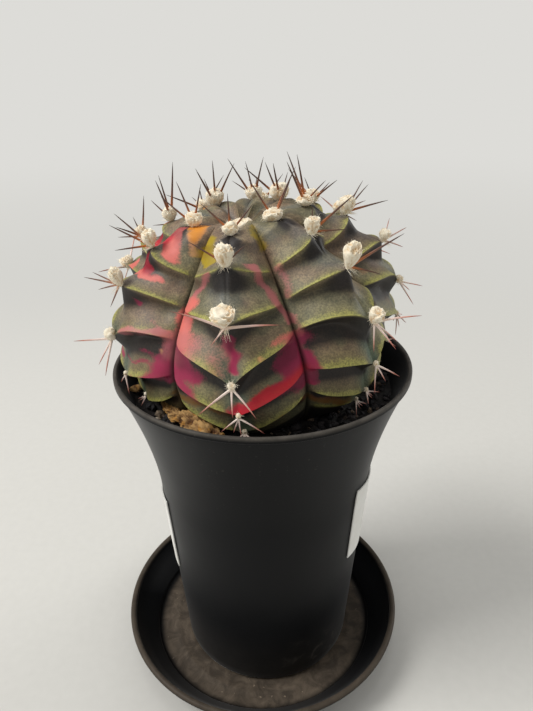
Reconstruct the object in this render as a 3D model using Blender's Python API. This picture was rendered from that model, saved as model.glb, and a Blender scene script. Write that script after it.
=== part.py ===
"""A variegated chin cactus on its own roots, in a tall black plastic pot on a matching saucer.

Units are metres and +Z is up. The origin is the middle of the saucer's flat underside, and the
plant's best side faces -Y. Angles round the plant are measured from -Y, positive towards +X.
"""

import math
import random

import bmesh
import bpy
from mathutils import Matrix, Vector, noise
from mathutils.bvhtree import BVHTree

MM = 0.001
SEAT_GAP = 0.3 * MM  # clearance between two pieces that touch
ROUND_STEPS = 56  # segments of a turned piece

# Saucer: a shallow dish with a sloping wall and a beaded rim.
SAUCER_FLOOR_RADIUS = 34.5 * MM
SAUCER_RIM_RADIUS = 44.1 * MM
SAUCER_HEIGHT = 11.9 * MM
SAUCER_FLOOR = 1.5 * MM
SAUCER_BEAD = 0.9 * MM
SAUCER_CHAMFER = 0.5 * MM

# Pot: a slow taper, a flared mouth and a narrow lip. It stands a little off the saucer's middle.
POT_PLACE = (1.3 * MM, 0.5 * MM)
POT_BASE = SAUCER_FLOOR + SEAT_GAP
POT_TOP = 99.3 * MM
POT_WALL = 1.2 * MM
POT_FLOOR = 1.5 * MM
POT_BASE_RADIUS = 26.45 * MM
POT_TAPER = 0.068
POT_CORNER = 1.2 * MM
FLARE_START = 64.0 * MM
FLARE_OUT = 6.9 * MM
FLARE_POWER = 1.75
LIP_RADIUS = 40.0 * MM
LIP_HEIGHT = 1.7 * MM
LIP_ROUNDING = 0.5 * MM
MIDDLE_HOLE_RADIUS = 3.0 * MM
DRAIN_HOLES = 6
DRAIN_HOLE_RADIUS = 2.4 * MM
DRAIN_CIRCLE = 15.0 * MM

# Label: a bare paper strip round the back of the pot, its ends a little higher than its middle.
LABEL_START = 52.0
LABEL_END = 297.0
LABEL_HEIGHT = 25.0 * MM
LABEL_BOTTOM = 34.5 * MM
LABEL_BOW = 5.0 * MM
LABEL_SKEW = 3.7 * MM
LABEL_THICKNESS = 0.25 * MM
LABEL_GAP = SEAT_GAP + 0.1 * MM

# Potting mix.
SOIL_LEVEL = 91.5 * MM
SOIL_ROUGHNESS = 0.8 * MM
SOIL_GRAIN = 6.0 * MM  # the size of its bumps
SOIL_EDGE = 2.0 * MM
SOIL_RINGS = 8
POCKET_WALL = 12.0 * MM  # the straight part of the pocket that the root sits in
# What lies on the mix: size, middle, turn about the vertical in degrees, colour.
BARK_COLOUR = (0.42, 0.27, 0.10)
GRAIN_COLOUR = (0.55, 0.50, 0.42)
LUMPS = {
    "bark_piece": ((20.0, 5.0, 3.6), (-17.9, -25.9, 94.2), -46.0, BARK_COLOUR),
    "bark_crumb": ((3.6, 2.6, 2.2), (-32.4, -5.5, 93.3), 20.0, BARK_COLOUR),
    "grain_left": ((1.5, 1.3, 1.1), (-24.8, -20.4, 92.6), 0.0, GRAIN_COLOUR),
    "grain_front": ((1.4, 1.1, 1.0), (6.0, -31.5, 92.6), 0.0, GRAIN_COLOUR),
}

# Cactus body: a squat superellipse, leaning a little, cut into ribs by deep grooves.
BODY_PLACE = Vector((-0.5 * MM, 0.5 * MM, 113.8 * MM))
BODY_RADIUS = 37.0 * MM
BODY_HALF_HEIGHT = 25.8 * MM
BODY_POWER = 0.583
CROWN_RISE = 0.7 * MM  # a low ring round the crown, at this share of the body's radius
CROWN_RING = 0.4
CROWN_RING_WIDTH = 0.2
CROWN_DIP = 4.0 * MM  # the hollow of the growing point, and its share of the body's radius
CROWN_HOLLOW = 0.22
CROWN_TUFT = 1.7 * MM
BACK_DROP = 4.0 * MM  # the crown's far side grew lower
LEAN = math.radians(10.6)
LEAN_TOWARDS = -38.7
# Each rib: its angle round the plant, and how far down from the crown each areole sits, in degrees.
RIBS = {
    "front": (-7.0, (10, 27, 57, 86, 105, 121)),
    "right": (47.3, (7, 23, 46, 76, 101, 122, 134)),
    "far_right": (87.4, (13, 30, 56, 83, 104, 123)),
    "back_right": (128.0, (9, 26, 50, 79, 102, 121)),
    "back": (169.0, (14, 29, 56, 84, 105, 122)),
    "back_left": (210.0, (10, 24, 48, 78, 101, 121)),
    "far_left": (250.4, (18, 39, 65, 91, 109, 124)),
    "left": (294.8, (8, 25, 49, 80, 104, 124)),
}
RIB_ORDER = ("front", "right", "far_right", "back_right", "back", "back_left", "far_left", "left")
LOWEST_LEVEL = 135  # where the ribs die away into the underside
UNDERSIDE_LEVEL = 168.0
# A groove's depth as a share of the radius: near the base, and added to it near the crown.
GROOVE_SHALLOW = 0.11
GROOVE_DEEP = 0.40
GROOVE_REACH = 70.0
# A flank's bands slope down from the crest to the groove: by how much at the crown, and how much
# less for each degree down.
FLANK_DROP = 36.0
FLANK_EASE = 0.44
FLANK_START = 12.0
# The crest's teeth, one to an areole: each steep below and gentle above, with a waist between two.
TOOTH_HEIGHT = 2.3 * MM
TOOTH_WAIST = 0.42
TEETH_FADE_IN = (2.0, 30.0)
TEETH_FADE_OUT = (112.0, 150.0)
BAND_HEIGHT = 0.7 * MM
COLUMNS_PER_RIB = 8
RINGS_PER_LEVEL = 3
LEVELS = 7
UNDERSIDE_RINGS = 3
# The root below the underside, from the top down: radius and depth.
ROOT = ((9.0 * MM, 2.6 * MM), (5.5 * MM, 6.0 * MM), (4.2 * MM, 13.0 * MM), (2.4 * MM, 21.0 * MM))
ROOT_LENGTH = 25.0 * MM

# Spines, each a turn round the areole (0 points up the rib, 90 to the right), a tilt away from
# the skin's normal and a length in millimetres. The young ones stand up, the old ones spread.
SPINES_BY_AGE = (
    (20, ((-60, 42, 10.0), (62, 42, 10.0), (0, 18, 11.0), (180, 35, 7.0))),
    (42, ((-70, 55, 10.5), (75, 55, 10.5), (180, 50, 7.0))),
    (72, ((-68, 72, 11.5), (85, 74, 11.5), (-160, 72, 6.0))),
    (98, ((-100, 72, 11.0), (108, 74, 11.0), (180, 78, 9.0))),
    (115, ((-150, 80, 5.5), (150, 80, 5.5), (180, 66, 4.5))),
    (180, ((-80, 46, 3.8), (80, 46, 3.8), (-100, 15, 2.0), (100, 15, 2.0))),
)
# The best side's own spines, by rib and by areole counted from the crown.
SPINES_OF = {
    ("front", 1): ((-75, 42, 9.0), (55, 55, 8.0), (0, 15, 8.0)),
    ("front", 2): ((-70, 55, 8.5), (62, 62, 6.0), (85, 48, 5.0)),
    ("front", 3): ((-62, 72, 11.0), (86, 92, 11.0), (-140, 78, 4.5)),
    ("front", 4): ((-110, 58, 8.8), (135, 70, 8.0), (-178, 52, 6.0)),
    ("front", 5): ((-105, 58, 4.7), (115, 73, 6.5), (175, 55, 4.0)),
    ("right", 1): ((-40, 16, 10.0), (120, 40, 12.0)),
    ("right", 2): ((35, 33, 5.5), (108, 48, 12.0), (142, 72, 7.5)),
    ("right", 3): ((30, 55, 6.0), (98, 40, 13.0), (148, 60, 7.0)),
    ("right", 4): ((88, 36, 10.0), (-150, 85, 6.5), (-178, 52, 7.5), (155, 62, 7.0)),
    ("right", 5): ((124, 30, 6.0), (-142, 70, 6.5), (180, 45, 4.5)),
    ("left", 1): ((-145, 56, 9.5), (-115, 28, 10.0), (-30, 20, 9.0)),
    ("left", 2): ((-105, 30, 10.5), (-135, 36, 10.0), (-168, 60, 8.0)),
    ("left", 3): ((-122, 28, 8.0), (-155, 42, 5.0), (165, 88, 5.6)),
    ("left", 4): ((-95, 20, 9.0), (150, 66, 9.0), (165, 52, 7.0)),
    ("left", 5): ((-150, 45, 3.0), (150, 70, 5.0)),
    ("left", 6): ((-80, 40, 3.0), (80, 40, 3.0), (0, 15, 2.2)),
    ("far_left", 6): ((-80, 40, 3.0), (80, 40, 3.0), (180, 15, 2.2)),
    ("far_right", 2): ((125, 25, 8.0), (180, 50, 10.0)),
    ("far_right", 3): ((125, 22, 6.5), (-165, 50, 5.0), (60, 50, 6.0)),
    ("far_right", 4): ((-160, 22, 6.0), (-148, 68, 7.0), (150, 60, 6.0)),
}
SPINE_RADIUS = 0.22 * MM
SPINE_TIP_RADIUS = 0.08 * MM
SPINE_CLEAR = 1.3  # how far out a spine has its full roundness, as a share of the wool's radius
WOOL_SQUASH = 0.75
WOOL_SMALL = 0.85 * MM
WOOL_GROWTH = 1.45 * MM
WOOL_CHANGE = 80.0
WOOL_CHANGE_WIDTH = 4.0


def clear_scene():
    for thing in list(bpy.data.objects):
        bpy.data.objects.remove(thing, do_unlink=True)


def material(name, colour, roughness, metallic=0.0):
    made = bpy.data.materials.new(name)
    made.use_nodes = True
    shader = made.node_tree.nodes["Principled BSDF"]
    shader.inputs["Base Color"].default_value = (*colour, 1.0)
    shader.inputs["Roughness"].default_value = roughness
    shader.inputs["Metallic"].default_value = metallic
    made.diffuse_color = (*colour, 1.0)
    return made


def add_object(name, bm, surface, place=(0.0, 0.0, 0.0), smooth_below=40.0):
    """One named object from a finished bmesh, set down at a place."""
    bmesh.ops.recalc_face_normals(bm, faces=bm.faces[:])
    mesh = bpy.data.meshes.new(name)
    bm.to_mesh(mesh)
    bm.free()
    mesh.shade_smooth()
    mesh.set_sharp_from_angle(angle=math.radians(smooth_below))
    mesh.materials.append(surface)
    made = bpy.data.objects.new(name, mesh)
    made.location = place
    bpy.context.scene.collection.objects.link(made)
    return made


def spun(outline, closed):
    """A turned solid from (radius, height) points. An open outline is capped flat at both ends."""
    bm = bmesh.new()
    points = [bm.verts.new((radius, 0.0, height)) for radius, height in outline]
    pairs = list(zip(points, points[1:]))
    if closed:
        pairs.append((points[-1], points[0]))
    edges = [bm.edges.new(pair) for pair in pairs]
    bmesh.ops.spin(
        bm, geom=points + edges, cent=(0, 0, 0), axis=(0, 0, 1), angle=math.tau,
        steps=ROUND_STEPS, use_merge=True,
    )
    if not closed:
        bmesh.ops.holes_fill(bm, edges=[edge for edge in bm.edges if edge.is_boundary])
    return bm


def arc(middle, radius, start, end, steps):
    """Points of an arc in the (radius, height) plane, angles in degrees."""
    turns = [math.radians(start + (end - start) * i / steps) for i in range(steps + 1)]
    return [(middle[0] + radius * math.cos(a), middle[1] + radius * math.sin(a)) for a in turns]


def smooth_step(low, high, value):
    share = min(1.0, max(0.0, (value - low) / (high - low)))
    return share * share * (3.0 - 2.0 * share)


# ---- saucer -------------------------------------------------------------------------------------


def make_saucer():
    """A turned dish: chamfered foot, sloping wall, round bead and flat floor."""
    bead = (SAUCER_RIM_RADIUS - SAUCER_BEAD, SAUCER_HEIGHT - SAUCER_BEAD)
    outline = [(SAUCER_FLOOR_RADIUS - SAUCER_CHAMFER, 0.0)]
    outline += [(SAUCER_FLOOR_RADIUS + SAUCER_CHAMFER, SAUCER_CHAMFER)]
    outline += [(bead[0], bead[1] - 1.5 * SAUCER_BEAD)]
    outline += arc(bead, SAUCER_BEAD, -30, 190, 6)
    outline += [(SAUCER_FLOOR_RADIUS + 2 * SAUCER_CHAMFER, SAUCER_FLOOR + SAUCER_CHAMFER)]
    outline += [(SAUCER_FLOOR_RADIUS, SAUCER_FLOOR)]
    black = material("saucer_plastic", (0.018, 0.019, 0.021), 0.5)
    return add_object("saucer", spun(outline, closed=False), black)


# ---- pot ----------------------------------------------------------------------------------------


def pot_radius(height):
    """The pot's outer radius at a height above the table."""
    flare = max(0.0, height - FLARE_START) / (POT_TOP - FLARE_START)
    return POT_BASE_RADIUS + POT_TAPER * height + FLARE_OUT * flare**FLARE_POWER


def pot_heights(low, high, steps):
    """Heights that crowd together towards the flared mouth."""
    return [low + (high - low) * (1.0 - (1.0 - i / steps) ** 1.7) for i in range(steps + 1)]


def pot_outline():
    """The wall's section: up the outside, round the lip, down the inside, in over the floor."""
    lip_bottom = POT_TOP - LIP_HEIGHT
    heights = pot_heights(POT_BASE + POT_CORNER, lip_bottom, 9)  # the last one meets the lip
    outside = [(pot_radius(POT_BASE) - POT_CORNER, POT_BASE)]
    outside += [(pot_radius(height), height) for height in heights]
    outside += [(LIP_RADIUS, lip_bottom), (LIP_RADIUS, POT_TOP - LIP_ROUNDING)]
    outside += [(LIP_RADIUS - LIP_ROUNDING, POT_TOP)]
    top_inside = pot_radius(POT_TOP) - POT_WALL
    inside = [(top_inside + LIP_ROUNDING, POT_TOP), (top_inside, POT_TOP - LIP_ROUNDING)]
    inside += [(pot_radius(height) - POT_WALL, height) for height in reversed(heights[1:])]
    floor = POT_BASE + POT_FLOOR
    inside += [(pot_radius(floor) - POT_WALL - POT_CORNER, floor)]
    return outside + inside + [(MIDDLE_HOLE_RADIUS, floor), (MIDDLE_HOLE_RADIUS, POT_BASE)]


def make_drain_cutters(place):
    """Cylinders through the pot's floor, joined as one cutter."""
    bm = bmesh.new()
    for i in range(DRAIN_HOLES):
        turn = math.tau * i / DRAIN_HOLES
        middle = Vector((math.cos(turn), math.sin(turn), 0)) * DRAIN_CIRCLE
        middle.z = POT_BASE + POT_FLOOR / 2
        bmesh.ops.create_cone(
            bm, cap_ends=True, segments=10, radius1=DRAIN_HOLE_RADIUS, radius2=DRAIN_HOLE_RADIUS,
            depth=3 * POT_FLOOR, matrix=Matrix.Translation(middle),
        )
    cutter = add_object("drain_cutter", bm, material("cutter", (1, 0, 0), 1.0), place)
    cutter.hide_render = True
    cutter.display_type = "WIRE"
    return cutter


def make_pot(place):
    """The thin-walled pot, with its drain holes cut through the floor."""
    black = material("pot_plastic", (0.02, 0.021, 0.023), 0.42)
    pot = add_object("pot", spun(pot_outline(), closed=True), black, place)
    holes = pot.modifiers.new("drain_holes", "BOOLEAN")
    holes.operation = "DIFFERENCE"
    holes.solver = "EXACT"
    holes.object = make_drain_cutters(place)
    return pot


def make_label(place):
    """A bowed paper strip: a grid wrapped round the pot and thickened outwards."""
    bm = bmesh.new()
    bmesh.ops.create_grid(bm, x_segments=32, y_segments=3, size=1.0)
    middle, half = (LABEL_START + LABEL_END) / 2, (LABEL_END - LABEL_START) / 2
    for vert in bm.verts:
        along, up = vert.co.x, vert.co.y
        turn = math.radians(middle + half * along)
        height = LABEL_BOTTOM + LABEL_HEIGHT * (up + 1) / 2
        height += LABEL_BOW * along * along - LABEL_SKEW * along
        radius = pot_radius(height) + LABEL_GAP
        vert.co = (radius * math.sin(turn), -radius * math.cos(turn), height)
    outer = bmesh.ops.extrude_face_region(bm, geom=bm.faces[:], use_keep_orig=True)
    for vert in [part for part in outer["geom"] if isinstance(part, bmesh.types.BMVert)]:
        away = Vector((vert.co.x, vert.co.y, 0)).normalized()
        vert.co += away * LABEL_THICKNESS
    return add_object("pot_label", bm, material("label_paper", (0.85, 0.85, 0.83), 0.6), place)


# ---- cactus body --------------------------------------------------------------------------------


def body_profile(down):
    """Radius and height of the rib crests' shared surface, some degrees down from the crown."""
    turn = math.radians(down)
    share = abs(math.sin(turn)) ** BODY_POWER
    height = BODY_HALF_HEIGHT * math.cos(turn)
    if down < 90:
        height += CROWN_RISE * math.exp(-(((share - CROWN_RING) / CROWN_RING_WIDTH) ** 2))
        height -= CROWN_DIP * math.exp(-((share / CROWN_HOLLOW) ** 2))
    return BODY_RADIUS * share, height


def flank_shift(down, side):
    """How far down a flank's point lies, on the band that meets the crest this far down."""
    near_crown = 1.0 - math.exp(-down / FLANK_START)
    near_base = 1.0 - smooth_step(120.0, 180.0, down)
    return down + (FLANK_DROP - FLANK_EASE * down) * near_crown * near_base * side


def groove_depth(down, side):
    """Share of the radius lost between the crest, at side 0, and the groove, at side 1."""
    deepest = GROOVE_SHALLOW + GROOVE_DEEP * math.exp(-((down / GROOVE_REACH) ** 4))
    fade = 1.0 - smooth_step(LOWEST_LEVEL, LOWEST_LEVEL + 35, down)
    rounded = math.sqrt(side * side + 0.02) - math.sqrt(0.02)
    return deepest * fade * rounded**1.15


def tooth(down, areoles):
    """1 on an areole, 0 on the waist between two: steep under an areole, gentle above it."""
    stops = (0.0, *areoles, LOWEST_LEVEL + 15.0)
    for above, below in zip(stops, stops[1:]):
        if above <= down < below:
            share = (down - above) / (below - above)
            under = max(0.0, 1.0 - share / TOOTH_WAIST) ** 1.5 if above > 0 else 0.0
            over = max(0.0, (share - TOOTH_WAIST) / (1.0 - TOOTH_WAIST)) ** 1.7
            return max(under, over if below <= areoles[-1] else 0.0)
    return 0.0


def lean():
    """The turn that leans the body over, and lowers the side that it leans towards."""
    towards = math.radians(LEAN_TOWARDS)
    axis = Vector((math.cos(towards), math.sin(towards), 0.0))
    return Matrix.Rotation(LEAN, 3, axis)


def body_point(down, rib, side):
    """A point of the skin: down from the crown, on a rib, from its crest (0) to a groove (-1, 1)."""
    angle, areoles = RIBS[rib]
    step = 1 if side >= 0 else -1
    neighbour = RIBS[RIB_ORDER[(RIB_ORDER.index(rib) + step) % len(RIB_ORDER)]][0]
    gap = ((neighbour - angle) * step) % 360.0
    turn = math.radians(angle + side * gap / 2)
    side = abs(side)
    along = flank_shift(down, side)
    radius, height = body_profile(along)
    outward = Vector((radius / BODY_RADIUS**2, height / BODY_HALF_HEIGHT**2)).normalized()
    raised = tooth(down, areoles)
    near_ends = smooth_step(*TEETH_FADE_IN, down) * (1.0 - smooth_step(*TEETH_FADE_OUT, down))
    shift = BAND_HEIGHT * raised**3 * 4.0 * side * (1.0 - side)
    shift -= TOOTH_HEIGHT * (1.0 - raised) * (1.0 - side) ** 1.3
    shift *= near_ends
    radius = max(0.0, radius * (1.0 - groove_depth(along, side)) + outward.x * shift)
    height += outward.y * shift
    behind = max(0.0, -math.cos(turn)) * smooth_step(100.0, 20.0, down) * smooth_step(0.0, 20.0, down)
    height -= BACK_DROP * behind
    local = Vector((radius * math.sin(turn), -radius * math.cos(turn), height))
    return BODY_PLACE + lean() @ local


def between(start, end, steps):
    """Equal steps from one value to another, without the first."""
    return [start + (end - start) * (i + 1) / steps for i in range(steps)]


def underside_middle():
    """Where the root leaves the body."""
    return BODY_PLACE + lean() @ Vector((0, 0, -BODY_HALF_HEIGHT))


def ring_depths(rib):
    """How far down from the crown each ring of the mesh crosses a rib's crest."""
    areoles = RIBS[rib][1]
    stops = [0.0, *areoles, *[LOWEST_LEVEL] * (LEVELS - len(areoles))]
    depths = []
    for above, below in zip(stops, stops[1:]):
        depths += between(above, below, RINGS_PER_LEVEL)
    return depths + between(LOWEST_LEVEL, UNDERSIDE_LEVEL, UNDERSIDE_RINGS)


def make_stem():
    """The green body and its root: one plant, grown as one piece."""
    bm = bmesh.new()
    depths = {rib: ring_depths(rib) for rib in RIB_ORDER}
    body_rings = len(depths["front"])
    rings = body_rings + len(ROOT)
    columns = COLUMNS_PER_RIB * len(RIB_ORDER)
    bmesh.ops.create_uvsphere(bm, u_segments=columns, v_segments=rings + 1, radius=1.0)
    underside = underside_middle()
    half = COLUMNS_PER_RIB // 2
    for vert in bm.verts:
        turn = math.atan2(vert.co.x, -vert.co.y) % math.tau
        down = math.acos(max(-1.0, min(1.0, vert.co.z)))
        ring = round(down / math.pi * (rings + 1))
        column = round(turn / math.tau * columns) % columns
        place = ((column + half) // COLUMNS_PER_RIB) % len(RIB_ORDER)
        side = ((column + half) % COLUMNS_PER_RIB - half) / half
        rib = RIB_ORDER[place]
        beside = RIB_ORDER[(place + (1 if side >= 0 else -1)) % len(RIB_ORDER)]
        if ring == 0:
            vert.co = body_point(0.0, rib, 0.0)
        elif ring <= body_rings:
            own, other = depths[rib][ring - 1], depths[beside][ring - 1]
            vert.co = body_point(own + (other - own) * abs(side) / 2, rib, side)
        elif ring <= rings:
            radius, depth = ROOT[ring - body_rings - 1]
            angle = math.radians(RIBS[rib][0]) + math.tau * side * half / columns
            spoke = Vector((math.sin(angle), -math.cos(angle), 0.0))
            vert.co = underside + spoke * radius - Vector((0, 0, depth))
        else:
            vert.co = underside - Vector((0, 0, ROOT_LENGTH))
    skin = material("cactus_skin", (0.10, 0.12, 0.07), 0.5)
    return add_object("cactus_stem", bm, skin)


# ---- areoles: a pad of wool with its spines -------------------------------------------------------


def areole_frame(rib, down):
    """Where an areole sits, and its axes: out of the skin, up the rib and to the right."""
    here = body_point(down, rib, 0.0)
    radius, height = body_profile(down)
    turn = math.radians(RIBS[rib][0])
    step = 0.5
    above, below = body_profile(down - step), body_profile(down + step)
    slope = Vector((below[0] - above[0], below[1] - above[1])).normalized()
    around = Vector((math.sin(turn), -math.cos(turn), 0.0))
    up = lean() @ -(around * slope.x + Vector((0, 0, slope.y)))
    right = lean() @ Vector((math.cos(turn), math.sin(turn), 0.0))
    return here, right.cross(up).normalized(), up.normalized(), right


def wool_radius(down):
    """Young areoles carry thick wool, old ones little."""
    return WOOL_SMALL + WOOL_GROWTH / (1.0 + math.exp((down - WOOL_CHANGE) / WOOL_CHANGE_WIDTH))


def spines_of(rib, level, down):
    """An areole's own spines, or else those of its age."""
    by_age = next(spines for limit, spines in SPINES_BY_AGE if down < limit)
    return SPINES_OF.get((rib, level + 1), by_age)


def make_areole(rib, level, wool, shaker):
    """A wool pad with one spine drawn out of it for each direction."""
    down = RIBS[rib][1][level]
    here, out, up, right = areole_frame(rib, down)
    size = wool_radius(down)
    turned = Matrix((right, up, out)).transposed()
    bm = bmesh.new()
    bmesh.ops.create_icosphere(bm, subdivisions=2, radius=size, matrix=turned.to_4x4())
    free = {face: face.calc_center_median().normalized() for face in bm.faces}
    shake = 0.0 if (rib, level + 1) in SPINES_OF else 1.0
    spines = []
    for clock, tilt, length in spines_of(rib, level, down):
        clock = math.radians(clock + shake * shaker.uniform(-8, 8))
        tilt = math.radians(tilt + shake * shaker.uniform(-6, 6))
        length *= MM * (1.0 + shake * shaker.uniform(-0.08, 0.06))
        sideways = up * math.cos(clock) + right * math.sin(clock)
        along = out * math.cos(tilt) + sideways * math.sin(tilt)
        root = max(free, key=lambda face: free[face].dot(along))
        del free[root]
        spines.append((root, along, length))
    for vert in bm.verts:
        vert.co -= out * vert.co.dot(out) * (1.0 - WOOL_SQUASH)
    for root, along, length in spines:
        grow_spine(bm, root, along, size * SPINE_CLEAR, size * WOOL_SQUASH + length)
    middle = here + out * (size * WOOL_SQUASH + SEAT_GAP)
    return add_object(f"areole_{rib}_{level + 1}", bm, wool, middle)


def grow_spine(bm, root, along, clear, tip):
    """Draws a face of the pad out into a thin straight spine that points away from its middle."""
    top = root
    for reach, radius in ((clear, SPINE_RADIUS), (tip, SPINE_TIP_RADIUS)):
        top = bmesh.ops.extrude_discrete_faces(bm, faces=[top])["faces"][0]
        middle = top.calc_center_median()
        for vert in top.verts:
            spoke = vert.co - middle
            spoke -= along * spoke.dot(along)
            vert.co = along * reach + spoke.normalized() * radius


def make_crown(wool):
    """The tuft of young wool at the growing point."""
    here = body_point(0.0, "front", 0.0)
    bm = bmesh.new()
    bmesh.ops.create_icosphere(bm, subdivisions=2, radius=CROWN_TUFT)
    for vert in bm.verts:
        vert.co.z *= 0.6
    return add_object("crown_wool", bm, wool, here + Vector((0, 0, CROWN_TUFT)))


# ---- soil and what lies on it ---------------------------------------------------------------------


def soil_top(x, y, stem_tree):
    """The mix's height: level but crumbly, and hollowed where the plant sits in it."""
    level = SOIL_LEVEL + SOIL_ROUGHNESS * noise.noise(Vector((x, y, 0.0)) / SOIL_GRAIN)
    start = Vector((x, y, POT_BASE))
    hit = stem_tree.ray_cast(start, Vector((0, 0, 1)))[0]
    return level if hit is None else min(level, hit.z - 3 * SEAT_GAP)


def circle(middle, radius, height=0.0):
    """The points of a level ring."""
    turns = [math.tau * i / ROUND_STEPS for i in range(ROUND_STEPS)]
    ring = [middle + Vector((math.cos(turn), math.sin(turn), 0.0)) * radius for turn in turns]
    for point in ring:
        point.z = height
    return ring


def soil_rings(stem, pot_axis):
    """Rings up the root's pocket, out over the top, down the pot's wall and in over its floor."""
    tree = BVHTree.FromPolygons(
        [vert.co for vert in stem.data.vertices], [face.vertices for face in stem.data.polygons]
    )
    root_axis = underside_middle()
    pocket_floor = root_axis.z - ROOT_LENGTH - 2 * SEAT_GAP
    pocket = ROOT[1][0] + 2 * SEAT_GAP
    inset = POT_WALL + 1.2 * SEAT_GAP
    widest = pot_radius(SOIL_LEVEL) - inset
    rings = [circle(root_axis, pocket, height) for height in (pocket_floor, pocket_floor + POCKET_WALL)]
    for i in range(SOIL_RINGS + 1):
        share = i / SOIL_RINGS
        ring = circle(root_axis.lerp(pot_axis, share), pocket + (widest - pocket) * share)
        for point in ring:
            point.z = soil_top(point.x, point.y, tree)
        rings.append(ring)
    floor = POT_BASE + POT_FLOOR + SEAT_GAP
    for height in reversed(pot_heights(floor, SOIL_LEVEL - SOIL_EDGE, 7)[1:]):
        rings.append(circle(pot_axis, pot_radius(height) - inset, height))
    rings.append(circle(pot_axis, pot_radius(floor) - inset - POT_CORNER, floor))
    return rings


def make_soil(stem, place):
    """The mix fills the pot, with a pocket for the root."""
    bm = bmesh.new()
    previous = None
    for ring in soil_rings(stem, Vector(place)):
        verts = [bm.verts.new(point) for point in ring]
        edges = [bm.edges.new(pair) for pair in zip(verts, verts[1:] + verts[:1])]
        if previous:
            bmesh.ops.bridge_loops(bm, edges=previous + edges)
        previous = edges
    bmesh.ops.holes_fill(bm, edges=[edge for edge in bm.edges if edge.is_boundary])
    return add_object("potting_soil", bm, material("potting_mix", (0.012, 0.011, 0.010), 0.9))


def make_lump(name, size, middle, turn, colour):
    """A knobbly lump: a sphere stretched to a size in millimetres and dented by noise."""
    bm = bmesh.new()
    bmesh.ops.create_icosphere(bm, subdivisions=2, radius=0.5)
    for vert in bm.verts:
        dent = 1.0 + 0.25 * noise.noise(vert.co * 3.1 + Vector(middle))
        stretched = Vector((vert.co.x * size[0], vert.co.y * size[1], vert.co.z * size[2]))
        vert.co = stretched * dent * MM
    made = add_object(name, bm, material(name, colour, 0.85), Vector(middle) * MM)
    made.rotation_euler.z = math.radians(turn)
    return made


def main():
    """The saucer, the pot and its label, the plant, and the mix that it grows in."""
    clear_scene()
    place = (*POT_PLACE, 0.0)
    make_saucer()
    make_pot(place)
    make_label(place)
    stem = make_stem()
    make_soil(stem, place)
    wool = material("areole_wool", (0.72, 0.64, 0.48), 0.9)
    shaker = random.Random(11)
    for rib in RIB_ORDER:
        for level in range(len(RIBS[rib][1])):
            make_areole(rib, level, wool, shaker)
    make_crown(wool)
    for name, (size, middle, turn, colour) in LUMPS.items():
        make_lump(name, size, middle, turn, colour)


main()
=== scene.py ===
# %% [markdown]
# # A potted moon cactus
# The plant is a squat, ribbed chin cactus in a tall black plastic pot that stands on a saucer.
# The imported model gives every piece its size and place. This lesson models the same pieces again
# with the detail that an eye sees: sawn ribs, wool, spines, crumbly soil and dusty plastic.

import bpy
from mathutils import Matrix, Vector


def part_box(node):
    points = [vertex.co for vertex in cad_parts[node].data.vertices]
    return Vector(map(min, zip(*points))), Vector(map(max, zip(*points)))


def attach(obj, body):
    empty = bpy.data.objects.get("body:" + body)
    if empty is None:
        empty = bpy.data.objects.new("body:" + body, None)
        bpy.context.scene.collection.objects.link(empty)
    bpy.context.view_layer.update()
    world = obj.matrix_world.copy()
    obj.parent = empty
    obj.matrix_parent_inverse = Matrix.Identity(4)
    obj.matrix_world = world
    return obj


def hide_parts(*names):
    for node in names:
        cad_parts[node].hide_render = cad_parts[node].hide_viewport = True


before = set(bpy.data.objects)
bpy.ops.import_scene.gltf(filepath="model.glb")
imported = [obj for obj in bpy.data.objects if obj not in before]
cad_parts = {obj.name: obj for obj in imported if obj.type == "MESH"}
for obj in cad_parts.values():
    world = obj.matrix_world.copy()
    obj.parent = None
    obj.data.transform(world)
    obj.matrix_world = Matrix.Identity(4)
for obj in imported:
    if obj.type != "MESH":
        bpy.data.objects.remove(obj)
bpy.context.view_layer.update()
print("nodes in the frame:", len(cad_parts))

# %% Tools
import math
import random

import bmesh
import bpy
from mathutils import Matrix, Vector, noise

MM = 0.001
UP = Vector((0.0, 0.0, 1.0))


def smooth_step(low, high, value):
    share = min(1.0, max(0.0, (value - low) / (high - low)))
    return share * share * (3.0 - 2.0 * share)


def blend(start, end, share):
    return start + (end - start) * share


# %% [markdown]
# ## Finished pieces
# A piece is a bmesh until it is done. It then becomes an object at the origin, with its place in
# its mesh, so that a pattern on Object coordinates stays put. Faces are turned outwards and smooth.


# %% Piece helper
def piece(name, bm, finishes, replaces=(), sharp=40.0, outwards=True):
    if outwards:
        bmesh.ops.recalc_face_normals(bm, faces=bm.faces[:])
    mesh = bpy.data.meshes.new(name)
    bm.to_mesh(mesh)
    bm.free()
    mesh.shade_smooth()
    mesh.set_sharp_from_angle(angle=math.radians(sharp))
    for finish in finishes:
        mesh.materials.append(finish)
    made = bpy.data.objects.new(name, mesh)
    bpy.context.scene.collection.objects.link(made)
    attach(made, "root")
    if replaces:
        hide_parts(*replaces)
    print(f"{name}: {len(mesh.polygons)} faces")
    return made


def spun(outline, steps, closed):
    """A turned shape from (radius, height) points."""
    bm = bmesh.new()
    points = [bm.verts.new((radius, 0.0, height)) for radius, height in outline]
    pairs = list(zip(points, points[1:] + points[:1] if closed else points[1:]))
    edges = [bm.edges.new(pair) for pair in pairs]
    bmesh.ops.spin(
        bm, geom=points + edges, cent=(0, 0, 0), axis=(0, 0, 1), angle=math.tau,
        steps=steps, use_merge=True,
    )
    if not closed:
        bmesh.ops.holes_fill(bm, edges=[edge for edge in bm.edges if edge.is_boundary])
    return bm


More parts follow.
